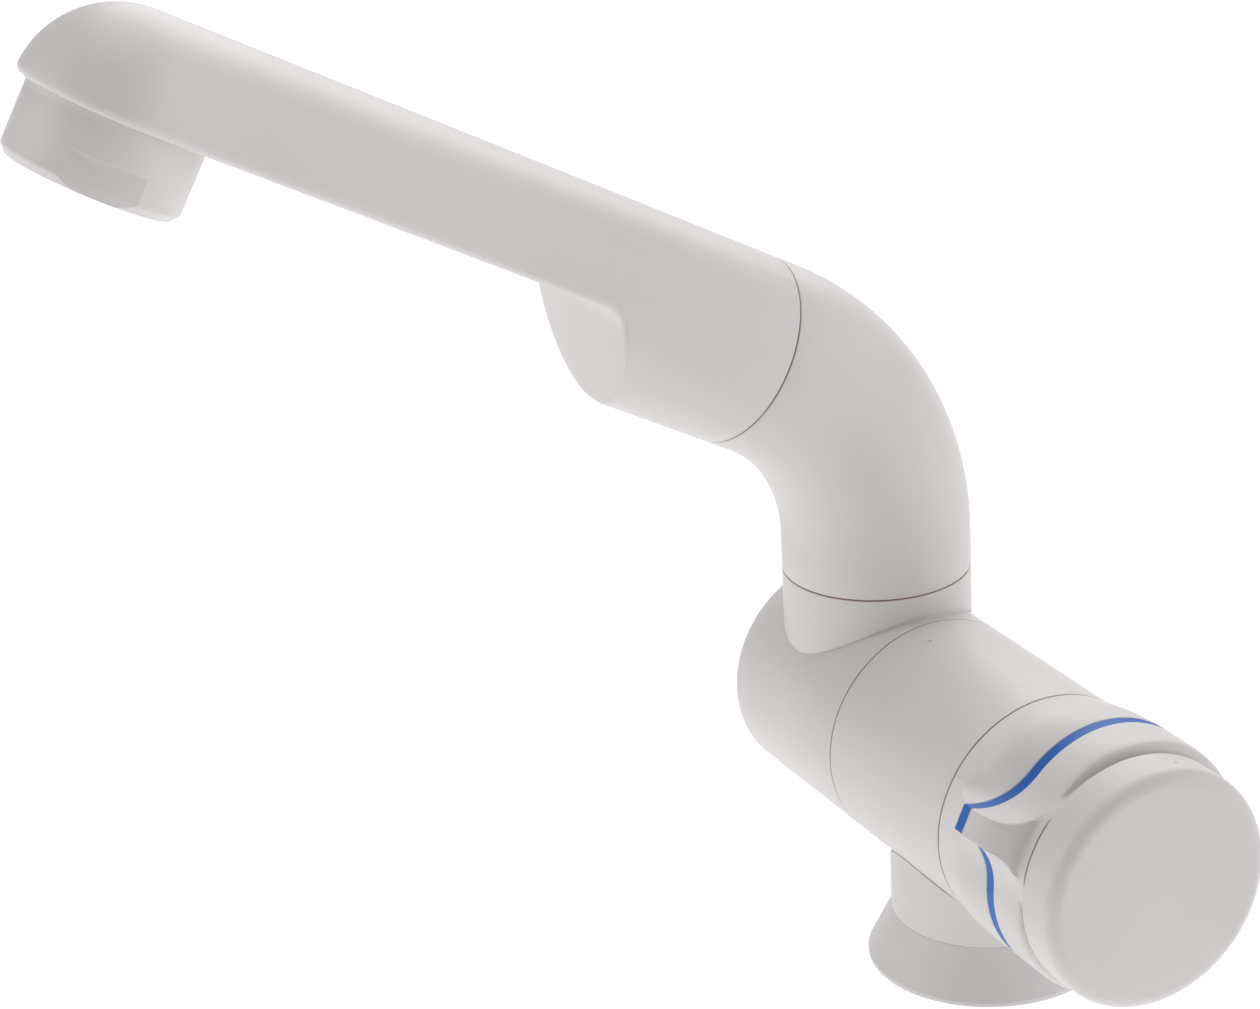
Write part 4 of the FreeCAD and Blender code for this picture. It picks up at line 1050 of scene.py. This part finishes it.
# %% Knob rings
SOFT_SHARES = (0, 0.25, 0.5, 0.75, 1)
RIM_EDGE = ((0.25, 0.0), (0.08, 0.05), (0.02, 0.14), (0.0, 0.25))
BAND_WIDTH = 1.95
BAND_SHIFT = 0.15
BAND_LOW = ring_low.x + BAND_SHIFT
BAND_HIGH = BAND_LOW + BAND_WIDTH
SEAM_FLAT_ANGLE = math.radians(8.5)
CREASE_X = knob_low.x + 7.0
CREASE_SOFT = 1.1
CREASE_SCOOP_RISE = 1.4
CREASE_CHEEK_RISE = 0.3
CREASE_RISE_END = 1.3*SCOOP_ANGLE
SCOOP_FADE = (math.radians(30), math.radians(80))


def smooth(value, low, high):
    """0 at low and under, 1 at high and over, with a soft start and end."""
    share = min(max((value - low)/(high - low), 0), 1)
    return share*share*(3 - 2*share)


def knob_piece(name, rings):
    """Skin over rings of (x, radius, direction) for each point of the outline, closed on itself."""
    rings = rings + rings[:1]

    def place(k, i):
        x, radius, direction = rings[k](i)
        return Vector((x, -radius*direction.x, radius*direction.y))

    return placed(skinned(name, POINTS, len(rings), place, start=False, end=False), KNOB)


def shaped(x, points, inset=0.0):
    """Ring along an outline, drawn in by inset."""
    return lambda i: (x, points[i].length - inset, points[i].normalized())


def round_ring(x, radius):
    return lambda i: (x, radius, LOBED[i].normalized())


def round_rings(*corners):
    return [round_ring(*corner) for corner in corners]


def at_seam(point):
    """Place on the round seam of a point of the lobed outline."""
    angle = math.atan2(point.y, point.x)
    size = abs(angle)
    if size < TIP_ANGLE:
        size *= SEAM_FLAT_ANGLE/TIP_ANGLE
    elif size < SCOOP_ANGLE:
        widening = SCOOP_ANGLE - SEAM_FLAT_ANGLE
        size = SCOOP_ANGLE - (SCOOP_ANGLE - size)*widening/(SCOOP_ANGLE - TIP_ANGLE)
    return on_circle((0, 0), BODY_R, math.copysign(size, angle))


def at_crease(point):
    """Place at the crease, where the scoops start and the cheeks are nearly full."""
    straight = at_seam(point).lerp(point, (CREASE_X - knob_low.x)/(BAND_LOW - knob_low.x))
    angle = abs(math.atan2(point.y, point.x))
    scoop = 1 - smooth(angle, *SCOOP_FADE)
    rise = CREASE_CHEEK_RISE + scoop*(CREASE_SCOOP_RISE - CREASE_CHEEK_RISE)
    return straight + straight.normalized()*rise*smooth(angle, TIP_ANGLE, CREASE_RISE_END)


SEAM = [at_seam(point) for point in LOBED]
CREASE = [at_crease(point) for point in LOBED]


def rear_outline(x):
    """Outline of the rear half at x, on straight lines between the three outlines."""
    if x < CREASE_X:
        start, end, share = SEAM, CREASE, (x - knob_low.x)/(CREASE_X - knob_low.x)
    else:
        start, end, share = CREASE, LOBED, (x - CREASE_X)/(BAND_LOW - CREASE_X)
    return [here.lerp(there, share) for here, there in zip(start, end)]


def crease_ring(share):
    """Ring of the soft crease, from share 0 behind it to share 1 in front."""
    before = rear_outline(CREASE_X - CREASE_SOFT)
    after = rear_outline(CREASE_X + CREASE_SOFT)
    points = [first.lerp(middle, share).lerp(middle.lerp(last, share), share)
              for first, middle, last in zip(before, CREASE, after)]
    return shaped(CREASE_X + CREASE_SOFT*(2*share - 1), points)


# %% [markdown]
# The rear half starts at the round seam and ends in the lobed rim beside the blue ring. The ring
# itself lies a tenth of a millimetre deeper than both halves, so that their rims catch the light.
# The ring and the front half sit on the rear half's hub, which also takes the spindle's end.

# %% Knob rear and blue ring
HUB_R = 8.5
HUB_HOLE_R = HUB_R + PUSH_FIT
HUB_FRONT = knob_high.x
CLIP_POCKET_R = 7.6
CLIP_POCKET_FRONT = knob_low.x + 2.65
DRIVE_R = 3.92
RING_RECESS = 0.12

KNOB_BACK = knob_low.x - SEAM_CLOSE
rear_rings = [shaped(KNOB_BACK + back, rear_outline(KNOB_BACK + back), inset)
              for back, inset in RIM_EDGE[::-1]]
rear_rings += [crease_ring(share) for share in SOFT_SHARES]
rear_rings += [shaped(BAND_LOW - back, rear_outline(BAND_LOW - back), inset)
               for back, inset in RIM_EDGE]
rear_rings += round_rings((BAND_LOW, HUB_R), (HUB_FRONT, HUB_R), (HUB_FRONT, DRIVE_R),
                          (CLIP_POCKET_FRONT, DRIVE_R), (CLIP_POCKET_FRONT, CLIP_POCKET_R),
                          (KNOB_BACK, CLIP_POCKET_R))
fitted(knob_piece("knob_rear_shell", rear_rings), "white_plastic", "knob_rear")

RECESSED = outline(lobe_points(RING_RECESS))
band_rings = [shaped(BAND_LOW, RECESSED), shaped(BAND_HIGH, RECESSED)]
band_rings += round_rings((BAND_HIGH, HUB_HOLE_R), (BAND_LOW, HUB_HOLE_R))
fitted(knob_piece("blue_ring_band", band_rings), "blue_plastic", "blue_ring")

# %% [markdown]
# The front half ends in a neck behind the cap disc. In each direction its outline runs straight
# along the wall, turns into the rounded front and leaves it again in a small hollow round at the
# neck. The wing's front is broad, meets the scoops in a soft edge and ends in a wide neck. The
# cheeks and the scoops turn in over one narrow shoulder, down to a neck that the disc overhangs.
# Where the wall hardly stands out over the neck, the outline runs down to it in one soft curve.

# %% Knob front
WING_SHAPE = {"neck": 19.85, "bend": 6.5, "cove": 1.0}
CHEEK_SHAPE = {"neck": 18.3, "bend": 2.0, "cove": 0.4}
SHAPE_TURN = (math.radians(11), math.radians(36))
WING_END = front_high.x - 1.7
CHEEK_END = front_high.x - 0.45
END_TURN = (math.radians(38), math.radians(80))
NECK_EDGE = ((0.12, 0.0), (0.035, 0.035), (0.0, 0.12))
WALL_EDGE = 0.7
WALL_EDGE_SHARE = 0.6
WALL_HOLD = 0.3
LEAST_BEND = 0.1
LEAST_NOSE = 0.02
NOSE_STEPS = 10
COVE_STEPS = 6
CAP_SOCKET_R = 15.02
CAP_SOCKET_DEPTH = 3.5
SCREW_POCKET_R = 5.3


def front_shape(point):
    """Neck radius, bend, cove and furthest x of the front in a point's direction."""
    angle = abs(math.atan2(point.y, point.x))
    side = smooth(angle, *SHAPE_TURN)
    bend = min(CHEEK_SHAPE["bend"], max(point.length - CHEEK_SHAPE["neck"], LEAST_BEND))
    cheek = dict(CHEEK_SHAPE, bend=bend)
    shape = [wing + side*(cheek[key] - wing) for key, wing in WING_SHAPE.items()]
    return shape + [WING_END + smooth(angle, *END_TURN)*(CHEEK_END - WING_END)]


def front_profile(point):
    """Line of (x, radius) in a point's direction, from the end of the wall to the neck."""
    wall = point.length
    neck, bend, cove, end = front_shape(point)
    centre = max(neck, wall - bend)
    low = max(neck + cove - centre, 0)
    cove_turn = math.asin(low/(bend + cove))
    cove_x = end - bend + (bend + cove)*math.cos(cove_turn)
    count = len(SOFT_SHARES) + NOSE_STEPS + COVE_STEPS
    if wall < centre + bend*math.sin(cove_turn) + LEAST_NOSE:
        start = end - WALL_EDGE
        run = [start + (cove_x - start)*k/(count - 1) for k in range(count)]
        line = [Vector((x, wall + (neck - wall)*smooth(x, start, cove_x))) for x in run]
        return [Vector((start - WALL_HOLD, wall))] + line

    def nose(turn):
        return Vector((end - bend + bend*math.cos(turn), centre + bend*math.sin(turn)))

    turn = math.asin(min((wall - centre)/bend, 1))
    edge = min(WALL_EDGE, WALL_EDGE_SHARE*bend*(turn - cove_turn))
    corner = nose(turn)
    before = corner - Vector((edge, 0))
    turn -= edge/bend
    after = nose(turn)
    line = [before - Vector((WALL_HOLD, 0))]
    line += [before.lerp(corner, share).lerp(corner.lerp(after, share), share) for share in SOFT_SHARES]
    line += [nose(turn + (cove_turn - turn)*k/NOSE_STEPS) for k in range(1, NOSE_STEPS + 1)]
    for k in range(1, COVE_STEPS + 1):
        swing = math.pi + cove_turn + (math.pi/2 - cove_turn)*k/COVE_STEPS
        line.append(on_circle((cove_x, neck + cove), cove, swing))
    return line


def neck_ring(x, inset):
    return lambda i: (x, front_shape(LOBED[i])[0] - inset, LOBED[i].normalized())


PROFILES = [front_profile(point) for point in LOBED]


def front_ring(step):
    return lambda i: (PROFILES[i][step].x, PROFILES[i][step].y, LOBED[i].normalized())


front_rings = [shaped(BAND_HIGH + back, LOBED, inset) for back, inset in RIM_EDGE[::-1]]
front_rings += [front_ring(step) for step in range(len(PROFILES[0]))]
front_rings += [neck_ring(front_high.x - back, inset) for back, inset in NECK_EDGE]
socket_x = front_high.x - CAP_SOCKET_DEPTH
front_rings += round_rings((front_high.x, CAP_SOCKET_R), (socket_x, CAP_SOCKET_R),
                           (socket_x, SCREW_POCKET_R), (HUB_FRONT, SCREW_POCKET_R),
                           (HUB_FRONT, HUB_HOLE_R), (BAND_HIGH, HUB_HOLE_R))
fitted(knob_piece("knob_front_shell", front_rings), "white_plastic", "knob_front")
